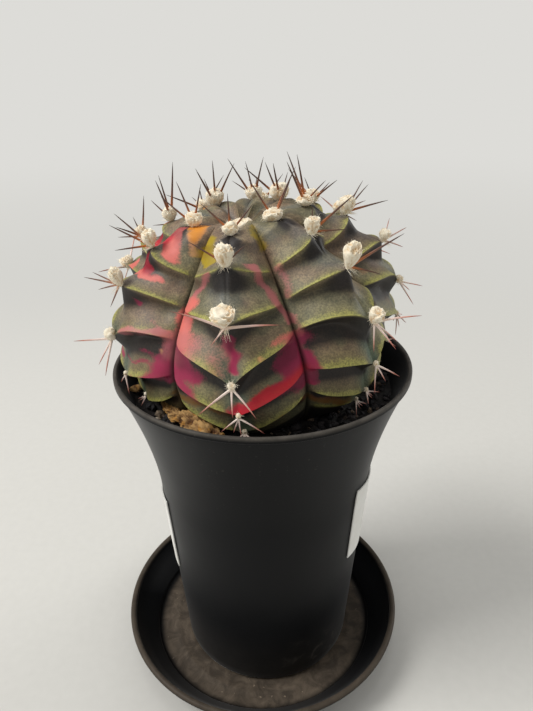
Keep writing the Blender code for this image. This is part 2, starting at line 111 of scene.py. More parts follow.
def arc(middle, radius, start, end, steps):
    """Points of an arc in the (radius, height) plane, angles in degrees."""
    turns = [math.radians(blend(start, end, i / steps)) for i in range(steps + 1)]
    return [(middle[0] + radius * math.cos(a), middle[1] + radius * math.sin(a)) for a in turns]


def turned(angle, radius, height=0.0):
    """A point round the plant: 0 degrees is the front, 90 the right."""
    angle = math.radians(angle)
    return Vector((radius * math.sin(angle), -radius * math.cos(angle), height))


# %% [markdown]
# ## Shader sums
# A material is a sum of masks, so its nodes are written as Python sums. A Field wraps one socket,
# and + - * and ** on it add Math nodes. Colours go through Mix, because Math would turn them grey.


# %% Shader helpers
class Field:
    """One number that varies over a surface."""

    def __init__(self, finish, socket):
        self.finish, self.socket = finish, socket

    def math(self, operation, left, right):
        return self.finish.node("Math", {"operation": operation}, {0: left, 1: right})

    def __add__(self, other):
        return self.math("ADD", self, other)

    def __radd__(self, other):
        return self.math("ADD", other, self)

    def __sub__(self, other):
        return self.math("SUBTRACT", self, other)

    def __rsub__(self, other):
        return self.math("SUBTRACT", other, self)

    def __mul__(self, other):
        return self.math("MULTIPLY", self, other)

    def __rmul__(self, other):
        return self.math("MULTIPLY", other, self)

    def __pow__(self, other):
        return self.math("POWER", self, other)


class Finish:
    """A Principled material, built node by node."""

    def __init__(self, name, **settings):
        self.material = bpy.data.materials.new(name)
        self.material.use_nodes = True
        self.tree = self.material.node_tree
        self.shader = self.tree.nodes["Principled BSDF"]
        self.place = self.node("TexCoord", output="Object")
        for socket, value in settings.items():
            self.feed(self.shader.inputs[socket.replace("_", " ")], value)

    def feed(self, socket, value):
        if isinstance(value, Field):
            self.tree.links.new(value.socket, socket)
        elif socket.type == "RGBA":
            socket.default_value = (*value, 1.0)
        else:
            socket.default_value = value

    def node(self, kind, settings=None, sockets=None, output=0):
        made = self.tree.nodes.new("ShaderNode" + kind)
        for name, value in (settings or {}).items():
            if name == "stops":
                stops = made.color_ramp.elements
                stops.remove(stops[1])
                stops[0].position = value[0][0]
                for place, _ in value[1:]:
                    stops.new(place)
                for stop, (_, colour) in zip(stops, value):
                    stop.color = (*colour, 1.0)
            else:
                setattr(made, name, value)
        for name, value in (sockets or {}).items():
            self.feed(made.inputs[name], value)
        return Field(self, made.outputs[output])

    def noise(self, size, detail=3.0, roughness=0.5, distortion=0.0, place=None):
        """Cloudy noise whose blotches are about this many metres across."""
        sockets = {"Vector": place or self.place, "Scale": 1.0 / size, "Detail": detail}
        sockets.update({"Roughness": roughness, "Distortion": distortion})
        return self.node("TexNoise", None, sockets)

    def step(self, value, low, high):
        """0 below low, 1 above high, smooth between."""
        settings = {"interpolation_type": "SMOOTHSTEP"}
        sockets = {"Value": value, "From Min": low, "From Max": high}
        return self.node("MapRange", settings, sockets)

    def mix(self, share, first, second, blend_type="MIX"):
        settings = {"data_type": "RGBA", "blend_type": blend_type}
        return self.node("Mix", settings, {0: share, 6: first, 7: second}, output=2)

    def ramp(self, value, *stops):
        return self.node("ValToRGB", {"stops": stops}, {0: value})

    def attribute(self, name, output="Fac"):
        return self.node("Attribute", {"attribute_name": name}, output=output)

    def heights(self):
        """The x, y and z of a point on the piece."""
        split = self.node("SeparateXYZ", None, {0: self.place}).socket.node
        return [Field(self, split.outputs[i]) for i in range(3)]

    def bump(self, height, distance, strength=1.0):
        sockets = {"Height": height, "Distance": distance, "Strength": strength}
        self.feed(self.shader.inputs["Normal"], self.node("Bump", None, sockets))

    def use(self, **sockets):
        for socket, value in sockets.items():
            self.feed(self.shader.inputs[socket.replace("_", " ")], value)
        return self.material


def colour(red, green, blue):
    """A colour of the usual 0 to 255 kind, as the shader's linear numbers."""
    shares = [value / 255.0 for value in (red, green, blue)]
    return tuple(s / 12.92 if s <= 0.04045 else ((s + 0.055) / 1.055) ** 2.4 for s in shares)


# %% [markdown]
# ## The camera
# A phone looks down on the plant from close by, so the pot narrows strongly towards its foot.
# A camera is turned in the order of its axes: tipped down about its own X, then rolled about its Z.

# %% Camera
CAMERA_PLACE = Vector((2.38, -138.28, 166.42)) * MM
CAMERA_DOWN = 25.765
CAMERA_ROLL = -0.855
CAMERA_LENS = 28.49

lens = bpy.data.cameras.new("camera")
lens.lens = CAMERA_LENS
lens.sensor_width = 36.0
lens.clip_start = 0.001
camera = bpy.data.objects.new("camera", lens)
tip = Matrix.Rotation(math.radians(90.0 - CAMERA_DOWN), 4, "X")
roll = Matrix.Rotation(math.radians(CAMERA_ROLL), 4, "Z")
camera.matrix_world = Matrix.Translation(CAMERA_PLACE) @ tip @ roll
bpy.context.scene.collection.objects.link(camera)
bpy.context.scene.camera = camera
bpy.context.scene.view_settings.view_transform = "Standard"
print("camera distance to the plant:", round((CAMERA_PLACE - Vector((0, 0, 0.11))).length, 3))

# %% [markdown]
# ## Floor and light
# The floor is pale and plain. Close to the saucer it is a real matt surface that takes a shadow.
# Farther off, and in the world behind it, the camera sees a set pale colour, so that no horizon
# shows. A large soft lamp stands at the upper left, a weaker one at the right, and one overhead.

# %% Floor and world
PALE = colour(221, 220, 216)
FLOOR_PALE = colour(212, 211, 206)

ground = bmesh.new()
bmesh.ops.create_circle(ground, cap_ends=True, segments=64, radius=6.0)
bmesh.ops.translate(ground, verts=ground.verts[:], vec=(0, 0, -0.2 * MM))
floor_mesh = bpy.data.meshes.new("floor")
ground.to_mesh(floor_mesh)
ground.free()
floor = bpy.data.objects.new("floor", floor_mesh)
bpy.context.scene.collection.objects.link(floor)

paint = Finish("floor_paint", Roughness=0.9)
speckle = paint.noise(3 * MM, detail=2.0)
near_colour = paint.mix(speckle, colour(206, 205, 200), colour(212, 211, 206))
paint.use(Base_Color=near_colour)
distance = paint.node("VectorMath", {"operation": "LENGTH"}, {0: paint.place}, output="Value")
seen = paint.node("LightPath", output="Is Camera Ray")
far = paint.step(distance, 0.12, 0.5) * seen
glow = paint.node("Emission", None, {"Color": paint.mix(paint.step(distance, 0.2, 1.5), FLOOR_PALE, PALE)})
shown = paint.node("MixShader", None, {0: far, 1: Field(paint, paint.shader.outputs[0]), 2: glow})
paint.tree.links.new(shown.socket, paint.tree.nodes["Material Output"].inputs["Surface"])
floor_mesh.materials.append(paint.material)

WORLD_LIGHT = 0.36
world = bpy.data.worlds.new("studio")
world.use_nodes = True
bpy.context.scene.world = world
sky, links = world.node_tree.nodes, world.node_tree.links
path = sky.new("ShaderNodeLightPath")
choose = sky.new("ShaderNodeMixShader")
seen_sky = sky.new("ShaderNodeBackground")
lit = sky["Background"]
lit.inputs["Color"].default_value = (1.0, 0.99, 0.97, 1.0)
lit.inputs["Strength"].default_value = WORLD_LIGHT
seen_sky.inputs["Color"].default_value = (*PALE, 1.0)
links.new(path.outputs["Is Camera Ray"], choose.inputs[0])
links.new(lit.outputs[0], choose.inputs[1])
links.new(seen_sky.outputs[0], choose.inputs[2])
links.new(choose.outputs[0], sky["World Output"].inputs["Surface"])


# %% Lamps
def lamp(name, place, size, watts, tint=(1.0, 1.0, 1.0)):
    """A square soft lamp that faces the middle of the plant."""
    light = bpy.data.lights.new(name, "AREA")
    light.size = size
    light.energy = watts
    light.color = tint
    made = bpy.data.objects.new(name, light)
    made.location = place
    aim = Vector((0, 0, 0.09)) - Vector(place)
    made.rotation_euler = aim.to_track_quat("-Z", "Y").to_euler()
    bpy.context.scene.collection.objects.link(made)


lamp("key_lamp", (-0.9, -0.2, 1.1), 0.6, 15.0, (1.0, 0.985, 0.96))
lamp("side_lamp", (1.0, 0.5, 0.5), 0.6, 4.0, (1.0, 0.99, 0.96))
lamp("top_lamp", (-0.05, 0.1, 1.2), 0.6, 2.0)

# %% [markdown]
# ## Black plastic
# The pot and the saucer are moulded from black polypropylene. It is satin rather than glossy: it
# shows a grey sheen where it turns away, and it gathers dust, smears and small scratches.


# %% Plastic finish
def plastic(name, dust_colour, dust_mask):
    """Black moulded plastic. The mask says where dust lies, from the finish's own sockets."""
    black = Finish(name, Specular_IOR_Level=0.12, Sheen_Weight=0.13, Sheen_Roughness=0.3)
    blotch = black.noise(14 * MM, detail=4.0)
    grain = black.noise(0.35 * MM, detail=2.0)
    smear = black.noise(5 * MM, detail=6.0, roughness=0.65, distortion=0.6)
    dust = dust_mask(black, smear, grain)
    body = black.mix(blotch, colour(6, 7, 10), colour(16, 17, 19))
    black.bump(grain + smear * 1.5, 0.02 * MM, 0.35)
    return black.use(
        Base_Color=black.mix(dust, body, dust_colour),
        Roughness=0.36 + blotch * 0.12 + dust * 0.3,
    )


# %% [markdown]
# ## The saucer
# A shallow dish with a sloping wall and a round bead for a rim. It is a turned thing, so its
# section is drawn once and spun. Fine rings on its floor are left by the mould.

# %% Saucer
saucer_low, saucer_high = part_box("saucer")
RIM_BEAD = 0.9 * MM
SAUCER_RIM = saucer_high[0]
SAUCER_TOP = saucer_high[2]
SAUCER_FLAT = 34.5 * MM
SAUCER_FLOOR = 1.5 * MM


def saucer_outline():
    bead = (SAUCER_RIM - RIM_BEAD, SAUCER_TOP - RIM_BEAD)
    foot = [(SAUCER_FLAT - 0.5 * MM, 0.0), (SAUCER_FLAT + 0.2 * MM, 0.15 * MM)]
    foot += [(SAUCER_FLAT + 0.6 * MM, 0.6 * MM)]
    wall = [(blend(foot[-1][0], bead[0], t), blend(foot[-1][1], bead[1] - RIM_BEAD, t)) for t in (0.35, 0.7, 1)]
    rim = arc(bead, RIM_BEAD, -40, 200, 16)
    inner = [(bead[0] - 1.05 * MM, bead[1] - 1.2 * MM)]
    inner += [(blend(inner[0][0], SAUCER_FLAT + 1.4 * MM, t), blend(inner[0][1], 3.2 * MM, t)) for t in (0.5, 1)]
    corner = arc((SAUCER_FLAT - 0.3 * MM, SAUCER_FLOOR + 1.6 * MM), 1.6 * MM, 0, -90, 6)
    rings = []
    for i in range(1, 7):
        radius = SAUCER_FLAT * (0.86 - 0.11 * i)
        rings += [(radius + 0.5 * MM, SAUCER_FLOOR), (radius, SAUCER_FLOOR + 0.12 * MM), (radius - 0.5 * MM, SAUCER_FLOOR)]
    lip = [(SAUCER_FLAT * 0.88, SAUCER_FLOOR), (SAUCER_FLAT * 0.86, SAUCER_FLOOR + 0.25 * MM)]
    lip += [(SAUCER_FLAT * 0.84, SAUCER_FLOOR + 0.2 * MM)]
    return foot + wall + rim + inner + corner + lip + rings


def saucer_dust(black, smear, grain):
    x, y, z = black.heights()
    radius = (x * x + y * y) ** 0.5
    flat = 1.0 - black.step(z, 2.2 * MM, 4.5 * MM)
    inside = 1.0 - black.step(radius, 33 * MM, 35.5 * MM)
    bead = black.step(z, 10.6 * MM, 11.6 * MM)
    speck = black.step(black.noise(1.1 * MM, detail=1.0), 0.74, 0.78)
    film = 0.18 + black.step(smear, 0.35, 0.7) * 0.3
    return flat * inside * (film + speck * 0.5 + grain * 0.1) + bead * (0.1 + smear * 0.35)


saucer_finish = plastic("saucer_plastic", colour(132, 118, 102), saucer_dust)
piece("saucer_dish", spun(saucer_outline(), 160, False), [saucer_finish], ["saucer"])

# %% [markdown]
# ## The pot
# A thin wall that tapers slowly and flares at the mouth, with a narrow flat lip. The section is
# a closed loop, so the spin gives the wall, the floor and the middle hole at once. Six more drain
# holes are cut with a Boolean, and the result is kept as plain mesh.

# %% Pot
pot_low, pot_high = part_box("pot")
POT_MIDDLE = Vector(((pot_low[0] + pot_high[0]) / 2, (pot_low[1] + pot_high[1]) / 2, 0.0))
LIP_RADIUS = (pot_high[0] - pot_low[0]) / 2
POT_BASE, POT_TOP = pot_low[2], pot_high[2]
POT_WALL = 1.2 * MM
POT_FLOOR = 1.5 * MM
LIP_HEIGHT = 1.7 * MM
FLARE_START = 64.0 * MM
DRAIN_CIRCLE = 15.0 * MM
DRAIN_RADIUS = 2.4 * MM


def pot_radius(height):
    """The outer wall: a slow taper, then a flare that gathers speed towards the mouth."""
    flare = max(0.0, height - FLARE_START) / (99.3 * MM - FLARE_START)
    return 26.45 * MM + 0.068 * height + 6.9 * MM * flare**1.75


def pot_outline():
    under_lip = POT_TOP - LIP_HEIGHT
    levels = [blend(POT_BASE + 1.2 * MM, under_lip, i / 36) for i in range(37)]
    outside = [(pot_radius(POT_BASE) - 1.3 * MM, POT_BASE)]
    outside += arc((pot_radius(POT_BASE) - 1.2 * MM, POT_BASE + 1.2 * MM), 1.2 * MM, -80, -10, 4)
    outside += [(pot_radius(level), level) for level in levels]
    lip = arc((LIP_RADIUS - 0.35 * MM, under_lip + 0.45 * MM), 0.35 * MM, -80, 0, 4)
    lip += arc((LIP_RADIUS - 0.45 * MM, POT_TOP - 0.45 * MM), 0.45 * MM, 0, 90, 5)
    mouth = pot_radius(POT_TOP) - POT_WALL
    inside = arc((mouth + 0.5 * MM, POT_TOP - 0.5 * MM), 0.5 * MM, 90, 180, 5)
    floor = POT_BASE + POT_FLOOR
    inside += [(pot_radius(level) - POT_WALL, level) for level in reversed(levels) if level > floor + 3 * MM]
    inside += [(pot_radius(floor) - POT_WALL - 1.2 * MM, floor)]
    return outside + lip + inside + [(3.0 * MM, floor), (3.0 * MM, POT_BASE)]


def pot_dust(black, smear, grain):
    x, y, z = black.heights()
    lip = black.step(z, 98.2 * MM, 99.1 * MM)
    specks = black.step(black.noise(0.9 * MM, detail=1.0), 0.7, 0.76)
    low = 1.0 - black.step(z, 4 * MM, 26 * MM)
    mud = low * black.step(x, 0.0, 18 * MM) * black.step(smear, 0.52, 0.66)
    dots = specks * black.step(z, 60 * MM, 98 * MM) * 0.12
    return lip * smear * 0.75 + mud * 0.32 + dots + low * smear * 0.1


bm = spun(pot_outline(), 160, True)
bmesh.ops.recalc_face_normals(bm, faces=bm.faces[:])
bmesh.ops.translate(bm, verts=bm.verts[:], vec=POT_MIDDLE)
wall_mesh = bpy.data.meshes.new("pot_blank")
bm.to_mesh(wall_mesh)
bm.free()
blank = bpy.data.objects.new("pot_blank", wall_mesh)
bpy.context.scene.collection.objects.link(blank)
drills = bmesh.new()
for i in range(6):
    middle = POT_MIDDLE + Matrix.Rotation(math.tau * i / 6, 3, "Z") @ Vector((DRAIN_CIRCLE, 0, 0))
    bmesh.ops.create_cone(
        drills, cap_ends=True, segments=32, radius1=DRAIN_RADIUS, radius2=DRAIN_RADIUS,
        depth=3 * POT_FLOOR, matrix=Matrix.Translation(middle + UP * (POT_BASE + POT_FLOOR / 2)),
    )
drill_mesh = bpy.data.meshes.new("drills")
drills.to_mesh(drill_mesh)
drills.free()
drill = bpy.data.objects.new("drills", drill_mesh)
bpy.context.scene.collection.objects.link(drill)
cut = blank.modifiers.new("drain_holes", "BOOLEAN")
cut.operation = "DIFFERENCE"
cut.solver = "EXACT"
cut.object = drill
bpy.context.view_layer.update()
drilled = bpy.data.meshes.new_from_object(blank.evaluated_get(bpy.context.evaluated_depsgraph_get()))
bm = bmesh.new()
bm.from_mesh(drilled)
for spare in (blank, drill):
    bpy.data.objects.remove(spare, do_unlink=True)
pot_finish = plastic("pot_plastic", colour(122, 116, 108), pot_dust)
piece("pot_shell", bm, [pot_finish], ["pot"], outwards=False)

# %% [markdown]
# ## The label
# A bare paper sticker runs round the back of the pot, and only its two ends show from the front.
# It is a flat grid wrapped round the taper: a strip cut straight bows upwards on a cone.

# %% Label
label_low, label_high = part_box("pot_label")
LABEL_START, LABEL_END = 52.0, 297.0
LABEL_BOTTOM, LABEL_HEIGHT = 34.5 * MM, 25.0 * MM
LABEL_BOW, LABEL_SKEW = 5.0 * MM, 3.7 * MM

bm = bmesh.new()
bmesh.ops.create_grid(bm, x_segments=120, y_segments=10, size=1.0)
for vert in bm.verts:
    along, up = vert.co.x, vert.co.y
    angle = blend(LABEL_START, LABEL_END, (along + 1) / 2)
    height = LABEL_BOTTOM + LABEL_HEIGHT * (up + 1) / 2 + LABEL_BOW * along * along - LABEL_SKEW * along
    ripple = 0.12 * MM * noise.noise(Vector((angle * 0.09, up * 1.3, 0.0)))
    vert.co = POT_MIDDLE + turned(angle, pot_radius(height) + 0.2 * MM + max(0.0, ripple), height)
paper_back = bmesh.ops.extrude_face_region(bm, geom=bm.faces[:], use_keep_orig=True)
for vert in [part for part in paper_back["geom"] if isinstance(part, bmesh.types.BMVert)]:
    away = (vert.co - POT_MIDDLE) * Vector((1, 1, 0))
    vert.co += away.normalized() * 0.3 * MM

paper = Finish("label_paper")
fibre = paper.noise(0.5 * MM, detail=4.0)
stain = paper.noise(9 * MM, detail=4.0, roughness=0.6)
sheet_colour = paper.mix(paper.step(stain, 0.4, 0.75) * 0.5, colour(238, 238, 234), colour(214, 211, 200))
paper.bump(fibre, 0.02 * MM, 0.4)
paper.use(Base_Color=sheet_colour, Roughness=0.5 + fibre * 0.15)
piece("label_strip", bm, [paper.material], ["pot_label"])

# %% [markdown]
# ## The shape of the plant
# The body is a squat ball whose ribs are numbered round it. Each point of the skin has three
# coordinates: a rib, a side from the crest (0) to the groove (-1 or 1), and a level, which is how
# far down from the crown it lies, in degrees. Every rib carries an areole at each of its levels.

# %% Numbers of the plant
BODY_PLACE = Vector((-0.5, 0.5, 113.8)) * MM
BODY_RADIUS = 37.0 * MM
BODY_HALF_HEIGHT = 25.8 * MM
BODY_POWER = 0.583
LEAN = Matrix.Rotation(math.radians(10.6), 3, turned(-38.7 + 90.0, 1.0))
RIBS = {
    "front": (-7.0, (10, 27, 57, 86, 105, 121)),
    "right": (47.3, (7, 23, 46, 76, 101, 122, 134)),
    "far_right": (87.4, (13, 30, 56, 83, 104, 123)),
    "back_right": (128.0, (9, 26, 50, 79, 102, 121)),
    "back": (169.0, (14, 29, 56, 84, 105, 122)),
    "back_left": (210.0, (10, 24, 48, 78, 101, 121)),
    "far_left": (250.4, (18, 39, 65, 91, 109, 124)),
    "left": (294.8, (8, 25, 49, 80, 104, 124)),
}
RIB_NAMES = tuple(RIBS)
LOWEST_LEVEL = 135.0
UNDERSIDE_LEVEL = 168.0
LEVELS = 7
COLUMNS = 48
RINGS = 28
UNDERSIDE_RINGS = 8
TOOTH_HEIGHT = 2.3 * MM
RIDGE_HEIGHT = 1.8 * MM
ROOT = ((9.0 * MM, 2.6 * MM), (5.5 * MM, 6.0 * MM), (4.2 * MM, 13.0 * MM), (2.4 * MM, 21.0 * MM))
ROOT_LENGTH = 25.0 * MM


def body_profile(level):
    """Radius and height of the surface that the rib crests share."""
    share = abs(math.sin(math.radians(level))) ** BODY_POWER
    height = BODY_HALF_HEIGHT * math.cos(math.radians(level))
    if level < 90:
        height += 0.7 * MM * math.exp(-(((share - 0.4) / 0.2) ** 2))
        height -= 4.0 * MM * math.exp(-((share / 0.22) ** 2))
    return BODY_RADIUS * share, height


def groove_depth(level, side):
    """Share of the radius lost from crest to groove: a swelling flank, then a sharp crease."""
    deepest = 0.11 + 0.40 * math.exp(-((level / 70.0) ** 4))
    fade = 1.0 - smooth_step(LOWEST_LEVEL, LOWEST_LEVEL + 35.0, level)
    swelling = (math.sqrt(side * side + 0.012) - math.sqrt(0.012)) ** 1.2
    crease = 0.035 * math.exp(-(1.0 - side) / 0.07) * smooth_step(8.0, 40.0, level)
    return fade * (deepest * swelling + crease)


def level_on(rib, stretch, share):
    """The level of a rib at a share of the stretch between two of its areoles."""
    stops = [0.0, *RIBS[rib][1], *[LOWEST_LEVEL] * (LEVELS - len(RIBS[rib][1])), UNDERSIDE_LEVEL]
    return blend(stops[stretch], stops[stretch + 1], share)


def beside(rib, side):
    """The next rib on that side, and the angle to it."""
    step = 1 if side >= 0 else -1
    name = RIB_NAMES[(RIB_NAMES.index(rib) + step) % len(RIB_NAMES)]
    return name, ((RIBS[name][0] - RIBS[rib][0]) * step) % 360.0


def saw(share, side, areole_above, areole_below):
    """1 on a ridge, 0 at the bottom of the dip: a steep drop under each ridge, then a slow rise to the next."""
    flank = smooth_step(0.0, 0.35, side)
    width, start = blend(0.42, 0.15, flank), blend(0.42, 0.02, flank)
    drop = max(0.0, 1.0 - share / width) ** 1.5 if areole_above else 0.0
    rise = max(0.0, (share - start) / (1.0 - start)) ** blend(1.7, 2.1, flank) if areole_below else 0.0
    return max(drop, rise)


def raised(level, side):
    """Ridges climb from each crest to its grooves, most of all halfway down the plant."""
    climb = 15.0 * math.exp(-(((level - 79.0) / (31.0 if level < 79.0 else 25.0)) ** 2))
    return level - climb * (1.0 - math.exp(-side / 0.28))


def skin(rib, side, stretch, share):
    """A point of the skin, with its level and how far it stands up as part of a ridge."""
    name, gap = beside(rib, side)
    angle = RIBS[rib][0] + side * gap / 2
    side = abs(side)
    own, other = level_on(rib, stretch, share), level_on(name, stretch, share)
    level = own + (other - own) * side**4 / 2
    near_ends = (1.0 - math.exp(-level / 12.0)) * (1.0 - smooth_step(120.0, 180.0, level))
    across = raised(level, side)
    along = across + (36.0 - 0.44 * across) * near_ends * side
    radius, height = body_profile(along)
    outward = Vector((radius / BODY_RADIUS**2, height / BODY_HALF_HEIGHT**2)).normalized()
    count = len(RIBS[rib][1])
    stands = saw(share, side, 0 < stretch <= count, stretch < count)
    toothed = smooth_step(2.0, 30.0, level) * (1.0 - smooth_step(112.0, 150.0, level))
    band = smooth_step(0.0, 0.3, side) * (1.0 - smooth_step(0.7, 1.0, side))
    tall = RIDGE_HEIGHT * blend(0.55, 1.0, smooth_step(35.0, 75.0, level))
    shift = (0.3 * stands - 1.0 + stands) * tall * band * (1.0 - smooth_step(120.0, 140.0, level))
    shift = shift * smooth_step(4.0, 24.0, level) - TOOTH_HEIGHT * (1.0 - stands) * (1.0 - side) ** 1.3 * toothed
    radius = max(0.0, radius * (1.0 - groove_depth(along, side)) + outward.x * shift)
    height += outward.y * shift
    behind = max(0.0, -math.cos(math.radians(angle)))
    height -= 4.0 * MM * behind * smooth_step(100.0, 20.0, level) * smooth_step(0.0, 20.0, level)
    return BODY_PLACE + LEAN @ turned(angle, radius, height), level, stands


def areole_frame(rib, number):
    """Where an areole sits, and its axes: out of the skin, up the rib and to the right."""
    level = RIBS[rib][1][number - 1]
    here = skin(rib, 0.0, number, 0.0)[0]
    above, below = body_profile(level - 0.5), body_profile(level + 0.5)
    slope = Vector((below[0] - above[0], below[1] - above[1])).normalized()
    up = LEAN @ -(turned(RIBS[rib][0], slope.x) + UP * slope.y)
    right = LEAN @ turned(RIBS[rib][0] + 90.0, 1.0)
    return here, right.cross(up).normalized(), up.normalized(), right, level


seats = {name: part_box(f"areole_{name}_3") for name in RIB_NAMES}
for name, (low, high) in seats.items():
    here = areole_frame(name, 3)[0]
    inside = all(low[i] - 3 * MM < here[i] < high[i] + 3 * MM for i in range(3))
    print(f"areole 3 of rib {name} sits {'in' if inside else 'outside'} its packed place")

# %% [markdown]
# ## Patches of colour
# Parts of the skin have lost their green, so the reds and yellows below show: coral along the
# grooves, magenta low down, a mustard wedge near the crown. Each patch is a stroke along a few
# (side, level) points of one rib, with a width in millimetres, as a brush would lay it down.

# %% Strokes
CORAL, PINK = colour(232, 118, 108), colour(196, 116, 116)
MAGENTA, RED = colour(160, 24, 76), colour(204, 14, 46)
ORANGE, MUSTARD = colour(232, 150, 44), colour(172, 148, 16)
PEACH, BROWN = colour(206, 152, 112), colour(128, 88, 34)
SCAR = colour(224, 172, 112)
STROKES = (
    (PINK, "front", ((-0.42, 27), (-0.62, 33), (-0.8, 42)), 1.6, 0.8),
    (CORAL, "front", ((-0.7, 40), (-0.88, 50), (-0.86, 60), (-0.9, 70)), 4.0, 1.0),
    (PINK, "front", ((-0.95, 76), (-0.8, 66), (-0.62, 64), (-0.6, 72)), 5.5, 0.62),
    (PINK, "front", ((-0.12, 66), (-0.2, 76), (-0.14, 80)), 3.4, 0.42),
    (MAGENTA, "front", ((-0.95, 74), (-0.78, 82), (-0.62, 88)), 4.6, 0.95),
    (MAGENTA, "front", ((-1.0, 86), (-0.92, 98), (-0.74, 103)), 7.0, 1.0),
    (MAGENTA, "front", ((-0.02, 60), (-0.05, 66), (0.05, 71), (0.03, 78)), 1.6, 1.0),
    (PINK, "front", ((0.5, 20), (0.66, 30), (0.8, 41), (0.92, 52), (0.95, 60)), 1.8, 0.85),
    (CORAL, "front", ((0.62, 68), (0.8, 66), (0.95, 68)), 2.6, 0.6),
    (MAGENTA, "front", ((0.98, 72), (0.86, 84), (0.9, 96), (0.98, 110)), 5.6, 0.85),
    (MAGENTA, "front", ((0.66, 84), (0.84, 90)), 3.6, 0.8),
    (MAGENTA, "front", ((0.2, 107), (0.5, 106), (0.8, 105)), 5.0, 0.75),
    (RED, "front", ((0.07, 103.5), (0.25, 101), (0.45, 99), (0.66, 97.5), (0.9, 96)), 4.8, 1.0),
    (SCAR, "front", ((0.41, 73), (0.43, 74.5)), 1.3, 1.0),
    (BROWN, "front", ((-0.95, 118), (-0.5, 112), (-0.2, 113)), 3.0, 0.7),
    (BROWN, "front", ((0.95, 126), (0.6, 122), (0.3, 124)), 3.0, 0.6),
    (MUSTARD, "front", ((-0.7, 8), (-0.52, 14), (-0.42, 19)), 2.0, 1.0),
    (MUSTARD, "front", ((-0.95, 12), (-0.75, 16)), 2.0, 0.9),
    (MUSTARD, "front", ((0.85, 5), (0.9, 9), (0.95, 13)), 1.8, 0.6),
    (PEACH, "left", ((0.55, 6), (0.7, 10), (0.85, 14)), 1.4, 0.8),
    (ORANGE, "left", ((0.1, 5), (0.45, 4), (0.6, 7)), 2.0, 1.0),
    (RED, "left", ((-0.3, 12), (-0.12, 14), (0.05, 18)), 2.2, 1.0),
    (CORAL, "left", ((-0.1, 10), (0.15, 12), (0.3, 16), (0.42, 20)), 2.6, 1.0),
    (RED, "left", ((-0.1, 29), (0.1, 30), (0.05, 35)), 1.8, 1.0),
    (CORAL, "left", ((-0.2, 36), (0.1, 37), (0.3, 35), (0.42, 32)), 2.0, 1.0),
    (MAGENTA, "left", ((0.24, 51), (0.26, 53)), 1.0, 1.0),
    (PINK, "left", ((0.15, 72), (0.35, 69), (0.6, 66), (0.8, 64)), 2.4, 0.75),
    (PINK, "left", ((0.55, 58), (0.75, 62)), 2.0, 0.5),
    (PINK, "left", ((0.85, 66), (0.9, 76), (0.95, 84)), 4.6, 0.6),
    (SCAR, "left", ((0.74, 79.5), (0.76, 80.5)), 0.9, 1.0),
    (MAGENTA, "left", ((0.1, 92), (0.35, 91), (0.55, 90)), 1.6, 0.7),
    (MAGENTA, "left", ((0.45, 82.5), (0.7, 84), (0.9, 88)), 1.8, 0.6),
    (MAGENTA, "left", ((0.45, 104), (0.7, 101), (1.0, 99)), 5.4, 1.0),
    (MAGENTA, "left", ((0.9, 90), (0.95, 104)), 5.4, 0.9),
    (PINK, "left", ((-0.6, 50), (-0.4, 60), (-0.5, 72)), 2.0, 0.6),
    (MAGENTA, "left", ((-0.5, 96), (-0.2, 94)), 2.2, 0.8),
    (PINK, "right", ((-0.9, 24), (-0.82, 32), (-0.9, 42)), 1.8, 0.5),
    (PINK, "right", ((-0.95, 55), (-0.9, 66)), 1.6, 0.4),
    (MAGENTA, "right", ((-0.95, 84), (-0.88, 96), (-0.92, 112)), 2.6, 0.7),
    (BROWN, "right", ((-0.9, 128), (-0.6, 130), (-0.3, 132)), 3.0, 0.7),
    (PEACH, "far_right", ((-0.75, 46), (-0.6, 60)), 2.6, 0.4),
    (MAGENTA, "far_right", ((0.3, 88), (0.6, 86), (0.85, 90)), 2.6, 0.8),
    (CORAL, "back_right", ((-0.8, 40), (-0.7, 52), (-0.85, 66)), 2.8, 0.8),
    (RED, "back_right", ((0.2, 104), (0.5, 101), (0.8, 98)), 2.4, 0.9),
    (MUSTARD, "back_right", ((0.7, 12), (0.6, 20)), 2.2, 0.8),
    (PINK, "back", ((0.5, 30), (0.72, 42), (0.9, 56)), 2.4, 0.7),
    (MAGENTA, "back", ((-0.85, 80), (-0.7, 92), (-0.9, 104)), 3.4, 0.9),
    (CORAL, "back", ((-0.05, 60), (0.05, 72)), 2.0, 0.8),
    (CORAL, "back_left", ((-0.7, 34), (-0.86, 48), (-0.84, 62)), 3.0, 0.9),
    (ORANGE, "back_left", ((0.1, 12), (0.4, 10)), 2.2, 0.9),
    (MAGENTA, "back_left", ((0.5, 92), (0.8, 98), (0.9, 108)), 3.0, 0.9),
    (RED, "far_left", ((0.1, 20), (0.35, 24), (0.5, 32)), 2.6, 0.9),
    (CORAL, "far_left", ((0.2, 52), (0.45, 58), (0.7, 60)), 3.0, 0.9),
    (PINK, "far_left", ((0.5, 84), (0.8, 90)), 2.6, 0.7),
)
RIB_WIDTH = 26.0  # millimetres from crest to crest, about the middle of the body
LEVEL_WIDTH = 0.62  # millimetres to a degree of level


